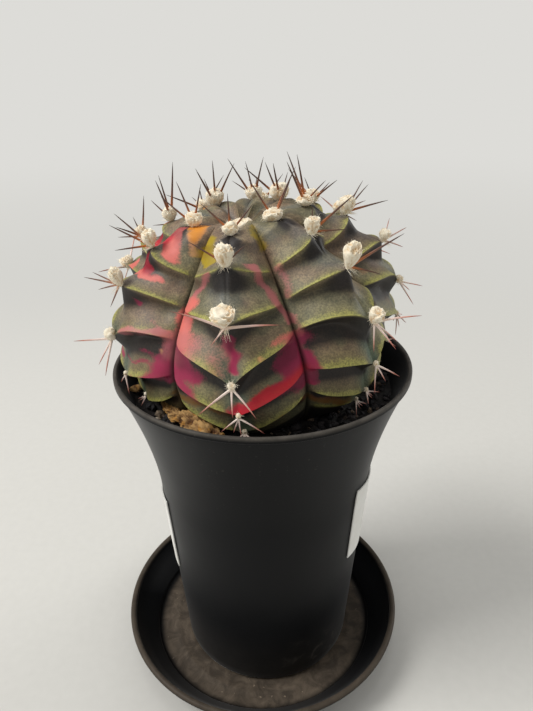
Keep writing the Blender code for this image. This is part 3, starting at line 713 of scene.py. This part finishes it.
def stroke_amount(rib_number, level, stroke):
    """How much of a stroke lies on a point of the skin: 1 on its line, 0 outside its width."""
    _, rib, knots, width, strength = stroke
    offset = rib_number - RIB_NAMES.index(rib)
    offset -= round(offset / len(RIB_NAMES)) * len(RIB_NAMES)
    if abs(offset) > 0.9:
        return 0.0
    scale = RIB_WIDTH * blend(0.35, 1.0, smooth_step(0.0, 60.0, level))
    nearest = 1e9
    for (side, start), (next_side, end) in zip(knots, knots[1:]):
        across, down = (offset - side / 2) * scale, (level - start) * LEVEL_WIDTH
        run_across, run_down = (next_side - side) / 2 * scale, (end - start) * LEVEL_WIDTH
        share = (across * run_across + down * run_down) / (run_across**2 + run_down**2)
        share = min(1.0, max(0.0, share))
        nearest = min(nearest, math.hypot(across - run_across * share, down - run_down * share))
    return strength * (1.0 - smooth_step(0.1, 0.95, nearest / width))


# %% [markdown]
# ## The body
# A UV sphere already has rings and columns, so each of its points is moved to a point of the skin.
# The rings crowd together at the ridges and the columns at the crests and grooves, where the shape
# is sharpest. Each point also keeps what the skin's colours need: ridge, painted shade, age and patches.

# %% Body


def crowded(share, amount):
    """Moves equal steps from 0 to 1 closer together at both ends."""
    return share - amount * math.sin(math.tau * share) / math.tau


def body_bmesh():
    bm = bmesh.new()
    body_rings = LEVELS * RINGS + UNDERSIDE_RINGS
    rings = body_rings + len(ROOT)
    columns = COLUMNS * len(RIB_NAMES)
    bmesh.ops.create_uvsphere(bm, u_segments=columns, v_segments=rings + 1, radius=1.0)
    layers = {name: bm.verts.layers.float.new(name) for name in ("ridge", "hollow", "level", "side", "patch")}
    tint = bm.verts.layers.float_color.new("tint")
    underside = BODY_PLACE + LEAN @ Vector((0, 0, -BODY_HALF_HEIGHT))
    for vert in bm.verts:
        turn = math.atan2(vert.co.x, -vert.co.y) % math.tau
        ring = round(math.acos(max(-1.0, min(1.0, vert.co.z))) / math.pi * (rings + 1))
        column = round(turn / math.tau * columns) % columns
        number = ((column + COLUMNS // 2) // COLUMNS) % len(RIB_NAMES)
        step = ((column + COLUMNS // 2) % COLUMNS - COLUMNS // 2) / (COLUMNS // 2)
        side = math.copysign(crowded(abs(step), 0.55), step)
        rib = RIB_NAMES[number]
        stretch, share = LEVELS, 1.0
        if ring <= LEVELS * RINGS:
            stretch = max(0, (ring - 1) // RINGS)
            share = crowded((ring - stretch * RINGS) / RINGS, 0.5)
        elif ring <= body_rings:
            share = (ring - LEVELS * RINGS) / UNDERSIDE_RINGS
        place, level, stands = skin(rib, side, stretch, share)
        if ring > body_rings:
            root_radius, depth = (ROOT + ((0.0, ROOT_LENGTH),))[ring - body_rings - 1]
            place = underside + turned(math.degrees(turn), root_radius) - UP * depth
        vert.co = place
        if ring <= body_rings:
            paint_point(vert, layers, tint, number, side, level, stretch, share)
    return bm


def paint_point(vert, layers, tint, number, side, level, stretch, share):
    """Keeps on a point what the skin finish reads."""
    flank = smooth_step(0.02, 0.2, abs(side)) * (1.0 - smooth_step(0.86, 1.0, abs(side)))
    toothed = 0 < stretch
    last = stretch >= len(RIBS[RIB_NAMES[number]][1])
    rise = 0.0 if last else max(0.0, (share - 0.42) / 0.58) ** 1.5
    drop = max(0.0, 1.0 - share / 0.03) if toothed else 0.0
    depth = smooth_step(55.0, 95.0, level)
    # Painted shade: the dip under each ridge is darkened, more so low on the body.
    hollow = smooth_step(0.0, 0.07, share) * (1.0 - smooth_step(0.18, blend(0.5, 0.82, depth), share))
    hollow *= blend(0.38, 1.35, depth) * toothed
    vert[layers["ridge"]] = max(rise, drop) * flank * smooth_step(6.0, 20.0, level)
    # Painted shadow of the wool, on the crest just under each areole.
    under = (1.0 - smooth_step(0.0, 0.5, abs(side))) * (1.0 - smooth_step(0.1, 0.6, share))
    vert[layers["hollow"]] = hollow * (1.0 - smooth_step(0.9, 1.0, abs(side))) + under * toothed * 0.6
    vert[layers["level"]] = level / UNDERSIDE_LEVEL
    vert[layers["side"]] = abs(side)
    across = number + side / 2 + 0.05 * noise.noise(vert.co * 260.0)
    down = raised(level, abs(side)) + 2.2 * noise.noise(vert.co * 260.0 + Vector((5, 3, 1)))
    mixed, amount = Vector((0.0, 0.0, 0.0)), 0.0
    for stroke in STROKES:
        laid = stroke_amount(across, down, stroke)
        if laid > 0.0:
            mixed = mixed.lerp(Vector(stroke[0]), 1.0 if amount == 0.0 else laid)
            amount = amount + laid - amount * laid
    vert[layers["patch"]] = amount
    vert[tint] = (*mixed, 1.0)


# %% [markdown]
# ## The skin's finish
# The flanks are a dull green brown with a waxy bloom. Each ridge is olive yellow. In the dip below
# it, and on the crest under each areole, the skin gets a painted shade, nearly black with purple in
# it, which darkens the patches too; a painted dark line follows the bottom of each groove. The crests
# low down are blue green. Patches break up at their edges, because the skin changes colour cell by
# cell.

# %% Skin


def skin_finish():
    wax = Finish("cactus_skin", IOR=1.42)
    broad = wax.noise(11 * MM, detail=3.0)
    mottle = wax.noise(2.6 * MM, detail=5.0, roughness=0.62)
    cells = wax.noise(0.42 * MM, detail=2.0, roughness=0.7)
    ridge, hollow = wax.attribute("ridge"), wax.attribute("hollow")
    level, side = wax.attribute("level"), wax.attribute("side")
    patch, tint = wax.attribute("patch"), wax.attribute("tint", "Color")

    flank = wax.mix(wax.step(mottle, 0.3, 0.72), colour(104, 96, 76), colour(156, 143, 114))
    flank = wax.mix(wax.step(broad, 0.45, 0.62) * 0.4, flank, colour(110, 116, 96))
    flank = wax.mix(wax.step(broad, 0.56, 0.4) * 0.45, flank, colour(128, 98, 90))
    crest = (1.0 - wax.step(side, 0.03, 0.3)) * wax.step(level, 0.3, 0.58)
    flank = wax.mix(crest * 0.6, flank, colour(84, 118, 104))
    young_crest = (1.0 - wax.step(side, 0.05, 0.5)) * (1.0 - wax.step(level, 0.2, 0.42))
    flank = wax.mix(young_crest * 0.45, flank, colour(88, 98, 106))
    flank = wax.mix(wax.step(level, 0.5, 0.8) * 0.4, flank, colour(52, 62, 40))
    # Painted shade: the dips under the ridges and the crest under each areole go nearly black with purple.
    shade = wax.step(hollow + (mottle - 0.5) * 0.5, 0.0, 0.75)
    skin_colour = wax.mix(shade * 0.92, flank, colour(24, 18, 22))
    wash = wax.step(ridge + (mottle - 0.5) * 0.4, 0.05, 0.8)
    skin_colour = wax.mix(wash * 0.45, skin_colour, colour(134, 130, 80))
    edge = wax.step(ridge + (mottle - 0.5) * 0.35 + (cells - 0.5) * 0.3, 0.6, 0.98)
    olive = wax.mix(mottle, colour(150, 150, 76), colour(186, 184, 108))
    skin_colour = wax.mix(edge * 0.85, skin_colour, olive)
    dots = wax.step(cells, 0.36, 0.64)
    skin_colour = wax.mix(0.34, skin_colour, wax.mix(dots, colour(40, 36, 32), colour(214, 206, 186)), "OVERLAY")
    lost = wax.step(patch + (mottle - 0.5) * 0.9 + (cells - 0.5) * 0.7, 0.2, 0.85)
    # Patches darken by half in the same painted shade.
    tint_in_shade = wax.mix(shade * 0.5, tint, colour(82, 18, 42))
    skin_colour = wax.mix(lost * 0.95, skin_colour, wax.mix(mottle * 0.26, tint_in_shade, colour(60, 40, 36)))
    # Painted shade in the crease: a dark line along the bottom of each groove below the crown.
    groove_shade = wax.step(side, 0.93, 1.0) * wax.step(level, 0.1, 0.25)
    skin_colour = wax.mix(groove_shade * 0.75, skin_colour, colour(26, 24, 18))
    wax.bump(cells * 0.7 + mottle * 1.4, 0.09 * MM, 0.55)
    return wax.use(Base_Color=skin_colour, Roughness=0.4 + mottle * 0.16 + cells * 0.08)


body_finish = skin_finish()
body_mesh = body_bmesh()
bmesh.ops.remove_doubles(body_mesh, verts=body_mesh.verts[:], dist=0.001 * MM)
piece("cactus_body", body_mesh, [body_finish], ["cactus_stem"], sharp=70.0)

# %% [markdown]
# ## Wool
# Each areole carries a cap of felted wool. The young ones are fluffy and cream, and old caps have
# dried into lumps that stand up from the rib on a narrower neck. A cap is a sphere whose points
# are moved: a profile makes the neck, noise makes the lumps, and short thin hairs soften its edge.

# %% Wool shapes
# By rib and areole: width and length in millimetres, the neck's share of the width, how boxy it is.
WOOL_OF = {
    ("front", 1): (3.6, 2.8, 0.8, 0.5), ("front", 2): (3.9, 4.8, 0.7, 0.9), ("front", 3): (5.4, 5.3, 0.16, 0.9),
    ("right", 1): (4.6, 3.0, 0.9, 0.3), ("right", 2): (3.4, 4.0, 0.7, 0.6), ("right", 3): (4.0, 6.2, 0.5, 0.5),
    ("right", 4): (3.6, 4.0, 0.6, 0.4), ("far_right", 1): (4.0, 2.8, 0.9, 0.2), ("far_right", 2): (3.9, 4.6, 0.7, 0.2),
    ("far_right", 3): (2.9, 3.4, 0.5, 0.2), ("left", 1): (4.0, 3.4, 0.8, 0.3), ("left", 2): (3.5, 4.4, 0.6, 0.4),
    ("left", 3): (3.2, 4.8, 0.6, 0.4), ("left", 4): (3.0, 3.2, 0.6, 0.3), ("far_left", 2): (3.0, 3.6, 0.6, 0.2),
}


def wool_shape(rib, number, level):
    """An areole's own wool, or else that of its age: thick while young, a small tuft when old."""
    young = 1.0 / (1.0 + math.exp((level - 80.0) / 5.0)) + 0.45 * (1.0 - smooth_step(12.0, 18.0, level))
    return WOOL_OF.get((rib, number), (blend(1.25, 3.7, young), blend(1.3, 3.6, young), 0.7, 0.3))


def add_wool(bm, here, axes, shape, seed, hairs):
    """A lumpy cap from a sphere, with hairs. The axes are across, along the skin, and outwards."""
    width, length, neck, boxy = shape
    across, back, axis = axes
    ball = bmesh.ops.create_icosphere(bm, subdivisions=4 if width > 3.0 else 3, radius=1.0)["verts"]
    shift = Vector((seed * 7.3, seed * 3.1, seed * 1.7))
    crease = bm.verts.layers.float["crease"]
    for vert in ball:
        x, y, z = vert.co
        z = math.copysign(abs(z) ** blend(1.0, 0.55, boxy), z)
        rise = (z + 1.0) / 2.0
        ring = math.hypot(x, y) or 1e-6
        fuller = ring ** blend(1.0, 0.55, boxy) / ring * blend(neck, 1.0, smooth_step(0.05, 0.95 - 0.5 * neck, rise))
        lumps = noise.noise(vert.co * 1.4 + shift) * 0.16 + noise.noise(vert.co * 4.3 + shift) * 0.10
        fuzz = noise.noise(vert.co * 11.0 + shift) * 0.08
        full = (1.0 + lumps + fuzz) * MM / 2
        vert.co = here + (across * x + back * y) * fuller * width * full + axis * (rise * length * 2 - 0.7) * full
        # The crease value is low in the dips between lumps, where the wool's finish paints shade.
        vert[crease] = 0.5 + lumps * 1.3 + fuzz * 3.0
    shaker = random.Random(seed)
    middle = here + axis * length * 0.55 * MM
    for i in range(hairs):
        root = shaker.choice(ball).co.copy()
        away = (root - middle).normalized() + Vector([shaker.uniform(-0.7, 0.7) for _ in range(3)])
        add_hair(bm, root, away.normalized(), shaker.uniform(0.5, 1.1) * MM, 0.035 * MM)


def add_beard(bm, here, out, up, right, seed):
    """Longer white hairs that hang down the crest below young wool."""
    shaker = random.Random(seed + 500)
    for i in range(14):
        root = here + right * shaker.uniform(-0.8, 0.8) * MM + out * 0.3 * MM
        away = -up + right * shaker.uniform(-0.45, 0.45) + out * shaker.uniform(0.05, 0.5)
        add_hair(bm, root, away.normalized(), shaker.uniform(1.6, 3.6) * MM, 0.05 * MM)


def add_hair(bm, root, along, length, radius):
    """A thin three-sided cone, the least that still looks like a hair."""
    turn = along.to_track_quat("Z", "Y").to_matrix().to_4x4()
    place = Matrix.Translation(root + along * length * 0.4) @ turn
    cone = bmesh.ops.create_cone(bm, segments=3, radius1=radius, radius2=radius * 0.2, depth=length, matrix=place)
    for vert in cone["verts"]:
        vert[bm.verts.layers.float["crease"]] = 0.8


# %% [markdown]
# ## Spines
# A spine is a hard, slightly bent needle. It starts as a small ring whose cap is drawn out step by
# step. Each point keeps its share of the length, because the colour runs from root to tip: orange
# to dark red brown on young spines, and pinkish white with a red tip on old ones.

# %% Spine directions
# A turn round the areole (0 points up the rib, 90 to the right), a tilt from the skin's normal and
# a length in millimetres. Young spines stand up and old ones spread.
SPINES_BY_AGE = (
    (20, ((-42, 30, 13.0), (46, 32, 12.5), (0, 14, 11.0), (180, 35, 7.0))),
    (42, ((-70, 55, 10.5), (75, 55, 10.5), (180, 50, 7.0), (10, 30, 6.0))),
    (72, ((-68, 72, 11.5), (85, 74, 11.5), (-160, 72, 6.0))),
    (98, ((-100, 72, 11.0), (108, 74, 11.0), (180, 78, 9.0), (-145, 70, 7.0))),
    (115, ((-150, 80, 5.5), (150, 80, 5.5), (180, 66, 4.5), (-110, 60, 4.0), (110, 60, 4.0))),
    (180, ((-80, 46, 3.8), (80, 46, 3.8), (-100, 15, 2.2), (100, 15, 2.2))),
)
SPINES_OF = {
    ("front", 1): ((-75, 42, 9.0), (55, 55, 8.0), (0, 15, 8.0)),
    ("front", 2): ((-70, 55, 8.5), (62, 62, 6.0), (85, 48, 5.0)),
    ("front", 3): ((-62, 72, 11.0), (86, 92, 11.0), (-140, 78, 4.5)),
    ("front", 4): ((-110, 58, 8.8), (135, 70, 8.0), (-178, 52, 6.0)),
    ("front", 5): ((-105, 58, 4.7), (115, 73, 6.5), (175, 55, 4.0), (-150, 50, 3.5)),
    ("right", 1): ((-40, 16, 10.0), (120, 40, 12.0), (140, 44, 9.0)),
    ("right", 2): ((35, 33, 5.5), (108, 48, 12.0), (142, 72, 7.5)),
    ("right", 3): ((30, 55, 6.0), (98, 40, 13.0), (148, 60, 7.0)),
    ("right", 4): ((88, 36, 10.0), (-150, 85, 6.5), (-178, 52, 7.5), (155, 62, 7.0)),
    ("right", 5): ((124, 30, 6.0), (-142, 70, 6.5), (180, 45, 4.5)),
    ("left", 1): ((-145, 56, 9.5), (-115, 28, 10.0), (-30, 20, 9.0)),
    ("left", 2): ((-105, 30, 10.5), (-135, 36, 10.0), (-168, 60, 8.0)),
    ("left", 3): ((-122, 28, 8.0), (-155, 42, 5.0), (165, 88, 5.6), (-100, 40, 7.0)),
    ("left", 4): ((-95, 20, 9.0), (150, 66, 9.0), (165, 52, 7.0)),
    ("left", 5): ((-150, 45, 3.0), (150, 70, 5.0)),
    ("far_left", 6): ((-80, 40, 3.0), (80, 40, 3.0), (180, 15, 2.2)),
    ("left", 6): ((-80, 40, 3.0), (80, 40, 3.0), (0, 15, 2.2)),
    ("far_right", 2): ((125, 25, 8.0), (180, 50, 10.0), (100, 20, 8.0)),
    ("far_right", 3): ((125, 22, 6.5), (-165, 50, 5.0), (60, 50, 6.0)),
    ("far_right", 4): ((-160, 22, 6.0), (-148, 68, 7.0), (150, 60, 6.0)),
}
SPINE_STEPS = 7


def add_spine(bm, root, along, length, bend):
    """Draws a six-sided ring out along a bent line to a fine tip."""
    first = along.orthogonal().normalized()
    second = along.cross(first)
    ring = bmesh.ops.create_circle(bm, cap_ends=True, segments=6, radius=1.0)["verts"]
    angles = {vert: math.atan2(vert.co.y, vert.co.x) for vert in ring}
    top = ring[0].link_faces[0]
    share_layer = bm.verts.layers.float["along"]
    thickness = 0.17 * MM + 0.015 * length
    for i in range(SPINE_STEPS + 1):
        share = i / SPINE_STEPS
        middle = root + along * length * share + bend * length * share**2
        radius = thickness * (0.08 + 0.92 * (1.0 - share) ** 0.62)
        if i:
            top = bmesh.ops.extrude_discrete_faces(bm, faces=[top])["faces"][0]
            angles = dict(zip(top.verts, (angles_in_order[j] for j in range(6))))
        angles_in_order = [angles[vert] for vert in top.verts]
        for vert in top.verts:
            spoke = first * math.cos(angles[vert]) + second * math.sin(angles[vert])
            vert.co = middle + spoke * radius
            vert[share_layer] = share


# %% Wool and spine finishes


def wool_finish():
    felt = Finish("areole_wool", Sheen_Weight=0.4, Sheen_Roughness=0.5)
    crease = felt.attribute("crease")
    threads = felt.noise(0.3 * MM, detail=4.0, roughness=0.7, distortion=1.2)
    stain = felt.noise(1.8 * MM, detail=2.0)
    # Cream on the lumps, dark tan in the dips between them: the tan is painted shade.
    wool_colour_and_shade = felt.mix(felt.step(crease + (threads - 0.5) * 0.5, 0.2, 0.62), colour(206, 164, 104), colour(254, 245, 222))
    wool_colour_and_shade = felt.mix(felt.step(stain, 0.55, 0.72) * 0.5, wool_colour_and_shade, colour(214, 176, 118))
    felt.bump(threads, 0.12 * MM, 0.7)
    return felt.use(Base_Color=wool_colour_and_shade, Roughness=0.85 + threads * 0.1)


def spine_finish():
    horn = Finish("spine_horn", IOR=1.5)
    along, young = horn.attribute("along"), horn.attribute("young")
    streak = horn.noise(0.9 * MM, detail=3.0)
    fresh = horn.ramp(
        along + (streak - 0.5) * 0.15, (0.0, colour(216, 130, 50)), (0.26, colour(172, 98, 50)),
        (0.5, colour(104, 70, 54)), (1.0, colour(68, 56, 50)),
    )
    aged = horn.ramp(
        along + (streak - 0.5) * 0.15, (0.0, colour(246, 232, 218)), (0.4, colour(238, 214, 204)),
        (0.75, colour(204, 138, 120)), (1.0, colour(142, 66, 58)),
    )
    horn.bump(streak, 0.03 * MM, 0.3)
    return horn.use(Base_Color=horn.mix(young, aged, fresh), Roughness=0.38 + streak * 0.15)


# %% [markdown]
# ## The areoles
# An areole's wool and spines grow from one spot, so they are one piece with two finishes. Wool
# stands nearly upright wherever it grows, a little outwards, while the spines follow the skin.

# %% Areoles
felt_finish, horn_finish = wool_finish(), spine_finish()


def make_areole(rib, number, seed):
    here, out, up, right, level = areole_frame(rib, number)
    shape = wool_shape(rib, number, level)
    axis = (UP * 0.9 + out * 0.5).normalized() if level > 20 else (out + UP * 0.4).normalized()
    across = right
    back = axis.cross(across).normalized()
    across = back.cross(axis).normalized()
    bm = bmesh.new()
    for layer in ("crease", "along", "young"):
        bm.verts.layers.float.new(layer)
    add_wool(bm, here + out * 0.1 * MM, (across, back, axis), shape, seed, 60 if level < 95 else 16)
    if level < 60:
        add_beard(bm, here, out, up, right, seed)
    wool_faces = len(bm.faces)
    shaker = random.Random(seed)
    own = SPINES_OF.get((rib, number))
    for clock, tilt, length in own or next(spines for limit, spines in SPINES_BY_AGE if level < limit):
        loose = 0.0 if own else 1.0
        clock = math.radians(clock + loose * shaker.uniform(-12, 12))
        tilt = math.radians(tilt + loose * shaker.uniform(-6, 6))
        length *= MM * (1.0 + loose * shaker.uniform(-0.1, 0.06))
        sideways = up * math.cos(clock) + right * math.sin(clock)
        along = out * math.cos(tilt) + sideways * math.sin(tilt)
        bend = Vector([shaker.uniform(-0.05, 0.05) for _ in range(3)])
        bend += -UP * (0.03 if level < 50 else 0.09) * math.sin(tilt)
        add_spine(bm, here + out * 0.5 * MM, along, length, bend - along * bend.dot(along))
    bm.faces.ensure_lookup_table()
    for face in bm.faces[wool_faces:]:
        face.material_index = 1
    young = 1.0 - smooth_step(44.0, 62.0, level)
    for vert in bm.verts:
        vert[bm.verts.layers.float["young"]] = young
    name = f"wool_and_spines_{rib}_{number}"
    return piece(name, bm, [felt_finish, horn_finish], [f"areole_{rib}_{number}"])


for seed, (rib, (_, levels)) in enumerate(RIBS.items()):
    for number in range(1, len(levels) + 1):
        make_areole(rib, number, seed * 10 + number)

# %% [markdown]
# ## The growing point
# The crown is a sunken cushion of new wool. It is made of several small caps that lean together.

# %% Crown
crown_low, crown_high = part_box("crown_wool")
crown_middle = (Vector(crown_low) + Vector(crown_high)) / 2
bm = bmesh.new()
for layer in ("crease", "along", "young"):
    bm.verts.layers.float.new(layer)
for i in range(7):
    spot = crown_middle + turned(i * 61.0, 1.5 * MM * (i > 0), -1.6 * MM)
    add_wool(bm, spot, (Vector((1, 0, 0)), Vector((0, 1, 0)), UP), (2.4, 2.6 - 0.1 * i, 0.9, 0.2), 200 + i, 24)
piece("crown_tuft", bm, [felt_finish], ["crown_wool"])

# %% [markdown]
# ## Potting mix
# The pot is full of dark peat and grit. One turned solid fills it, with a bumpy top, and hundreds
# of small crumbs lie on it. Each crumb is a twenty-sided ball, squashed and turned at random, since
# a shape that is repeated so often has to be light.

# %% Potting mix
soil_low, soil_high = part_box("potting_soil")
SOIL_LEVEL = 91.5 * MM
CRUMBS = 1300


def soil_height(x, y):
    lumps = noise.noise(Vector((x, y, 0)) / (6 * MM)) * 1.1 + noise.noise(Vector((x, y, 0.01)) / (2.2 * MM)) * 0.9
    return SOIL_LEVEL + lumps * MM


def soil_bmesh():
    inset = POT_WALL + 0.3 * MM
    top = [(4.0 * MM + i * 1.2 * MM, SOIL_LEVEL) for i in range(27)]
    edge = pot_radius(SOIL_LEVEL - MM) - inset - 0.1 * MM
    walls = [(pot_radius(height) - inset, height) for height in (88 * MM, 76 * MM, 60 * MM, 30 * MM, 8 * MM)]
    floor = soil_low[2]
    outline = [(4.0 * MM, floor), (4.0 * MM, SOIL_LEVEL - 8 * MM)] + top[1:]
    outline += [(edge, SOIL_LEVEL - 0.3 * MM), *walls, (walls[-1][0] - 3 * MM, floor)]
    bm = spun(outline, 128, True)
    for vert in bm.verts:
        vert.co += POT_MIDDLE
        if vert.co.z > SOIL_LEVEL - 0.5 * MM:
            vert.co.z = soil_height(vert.co.x, vert.co.y)
    return bm


def add_crumb(bm, place, size, shaker, shade):
    turn = Matrix.Rotation(shaker.uniform(0, math.tau), 4, Vector([shaker.uniform(-1, 1) for _ in range(3)]))
    stretch = Matrix.Diagonal((size, size * shaker.uniform(0.5, 0.9), size * shaker.uniform(0.4, 0.8), 1.0))
    ball = bmesh.ops.create_icosphere(
        bm, subdivisions=1, radius=0.5, matrix=Matrix.Translation(place) @ turn @ stretch
    )
    for vert in ball["verts"]:
        vert[shade[0]] = shade[1]


bm = soil_bmesh()
shade_layer = bm.verts.layers.float.new("shade")
shaker = random.Random(4)
for i in range(CRUMBS):
    radius = 35.4 * MM * math.sqrt(shaker.uniform(0.32, 1.0))
    place = POT_MIDDLE + turned(shaker.uniform(0, 360), radius)
    place.z = soil_height(place.x, place.y) + 0.1 * MM
    size = shaker.choice((0.7, 1.0, 1.5, 2.3, 3.2)) * shaker.uniform(0.8, 1.2) * MM
    if radius + size > 36.6 * MM:
        continue
    add_crumb(bm, place, size, shaker, (shade_layer, shaker.random()))

mix = Finish("potting_mix")
shade = mix.attribute("shade")
damp = mix.noise(2.4 * MM, detail=5.0, roughness=0.7)
grit = mix.noise(0.35 * MM, detail=3.0)
crumb_colour = mix.ramp(
    shade, (0.0, colour(20, 20, 24)), (0.5, colour(40, 36, 38)), (0.8, colour(62, 56, 56)),
    (0.95, colour(104, 86, 68)), (1.0, colour(150, 134, 114)),
)
peat = mix.mix(mix.step(damp, 0.35, 0.65), colour(16, 14, 15), colour(40, 34, 31))
mix.bump(grit + damp * 2.0, 0.2 * MM, 0.8)
mix.use(Base_Color=mix.mix(mix.step(shade, 0.0, 0.02), peat, crumb_colour), Roughness=0.62 + grit * 0.3)
piece("potting_mix_bed", bm, [mix.material], ["potting_soil"])

# %% [markdown]
# ## Bark and grains
# A long knobbly piece of composted bark and a small crumb of it lie on the mix, with two pale
# grains. Each is a ball stretched to the size that the frame gives and broken up by noise.

# %% Bark and grains


def knobbly(name, node, turn, size, finish, depth, aside=(0, 0, 0)):
    """A ball stretched to a size near the node's middle, with lumps on lumps. All in millimetres."""
    low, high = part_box(node)
    middle = (Vector(low) + Vector(high)) / 2 + Vector(aside) * MM
    bm = bmesh.new()
    bmesh.ops.create_icosphere(bm, subdivisions=5 if size[0] > 5 else 3, radius=0.5)
    crease = bm.verts.layers.float.new("crease")
    for vert in bm.verts:
        spot = Vector([vert.co[i] * size[i] for i in range(3)])
        away = Vector([vert.co[i] / size[i] for i in range(3)]).normalized()
        lumps = noise.noise(spot * 0.42 + middle * 90) * 0.9 + noise.noise(spot * 1.1 + middle * 30) * 0.7
        lumps += noise.noise(spot * 2.6) * 0.35
        vert.co = (spot + away * lumps * depth) * MM
        vert[crease] = 0.5 + lumps * 0.6
    bmesh.ops.rotate(bm, verts=bm.verts[:], cent=(0, 0, 0), matrix=Matrix.Rotation(math.radians(turn), 3, "Z"))
    bmesh.ops.translate(bm, verts=bm.verts[:], vec=middle)
    print(name, "stands in a box of", [round((high[i] - low[i]) / MM, 1) for i in range(3)], "mm")
    return piece(name, bm, [finish], [node], sharp=60.0)


wood = Finish("bark")
crease = wood.attribute("crease")
rough = wood.noise(0.8 * MM, detail=6.0, roughness=0.7)
chip = wood.noise(2.5 * MM, detail=3.0)
# Dark brown in the dips between lumps, pale tan on the bumps: painted shade.
tan = wood.mix(wood.step(crease + (rough - 0.5) * 0.6, 0.2, 0.75), colour(92, 58, 28), colour(194, 154, 98))
tan = wood.mix(wood.step(chip, 0.52, 0.62) * 0.55, tan, colour(196, 138, 52))
wood.bump(rough, 0.35 * MM, 0.9)
wood.use(Base_Color=tan, Roughness=0.8 + rough * 0.15)

stone = Finish("pale_grain")
pits = stone.noise(0.3 * MM, detail=4.0)
stone.bump(pits, 0.1 * MM, 0.6)
stone.use(Base_Color=stone.mix(pits, colour(176, 156, 132), colour(222, 212, 196)), Roughness=0.8)

knobbly("bark_chunk", "bark_piece", -46.0, (22.5, 5.4, 4.2), wood.material, 1.1, (2.6, 2.6, 0.2))
knobbly("bark_bit", "bark_crumb", 20.0, (3.6, 2.6, 2.2), wood.material, 0.6)
knobbly("pale_grain_left", "grain_left", 0.0, (1.5, 1.3, 1.1), stone.material, 0.25)
knobbly("pale_grain_front", "grain_front", 0.0, (1.4, 1.1, 1.0), stone.material, 0.25)
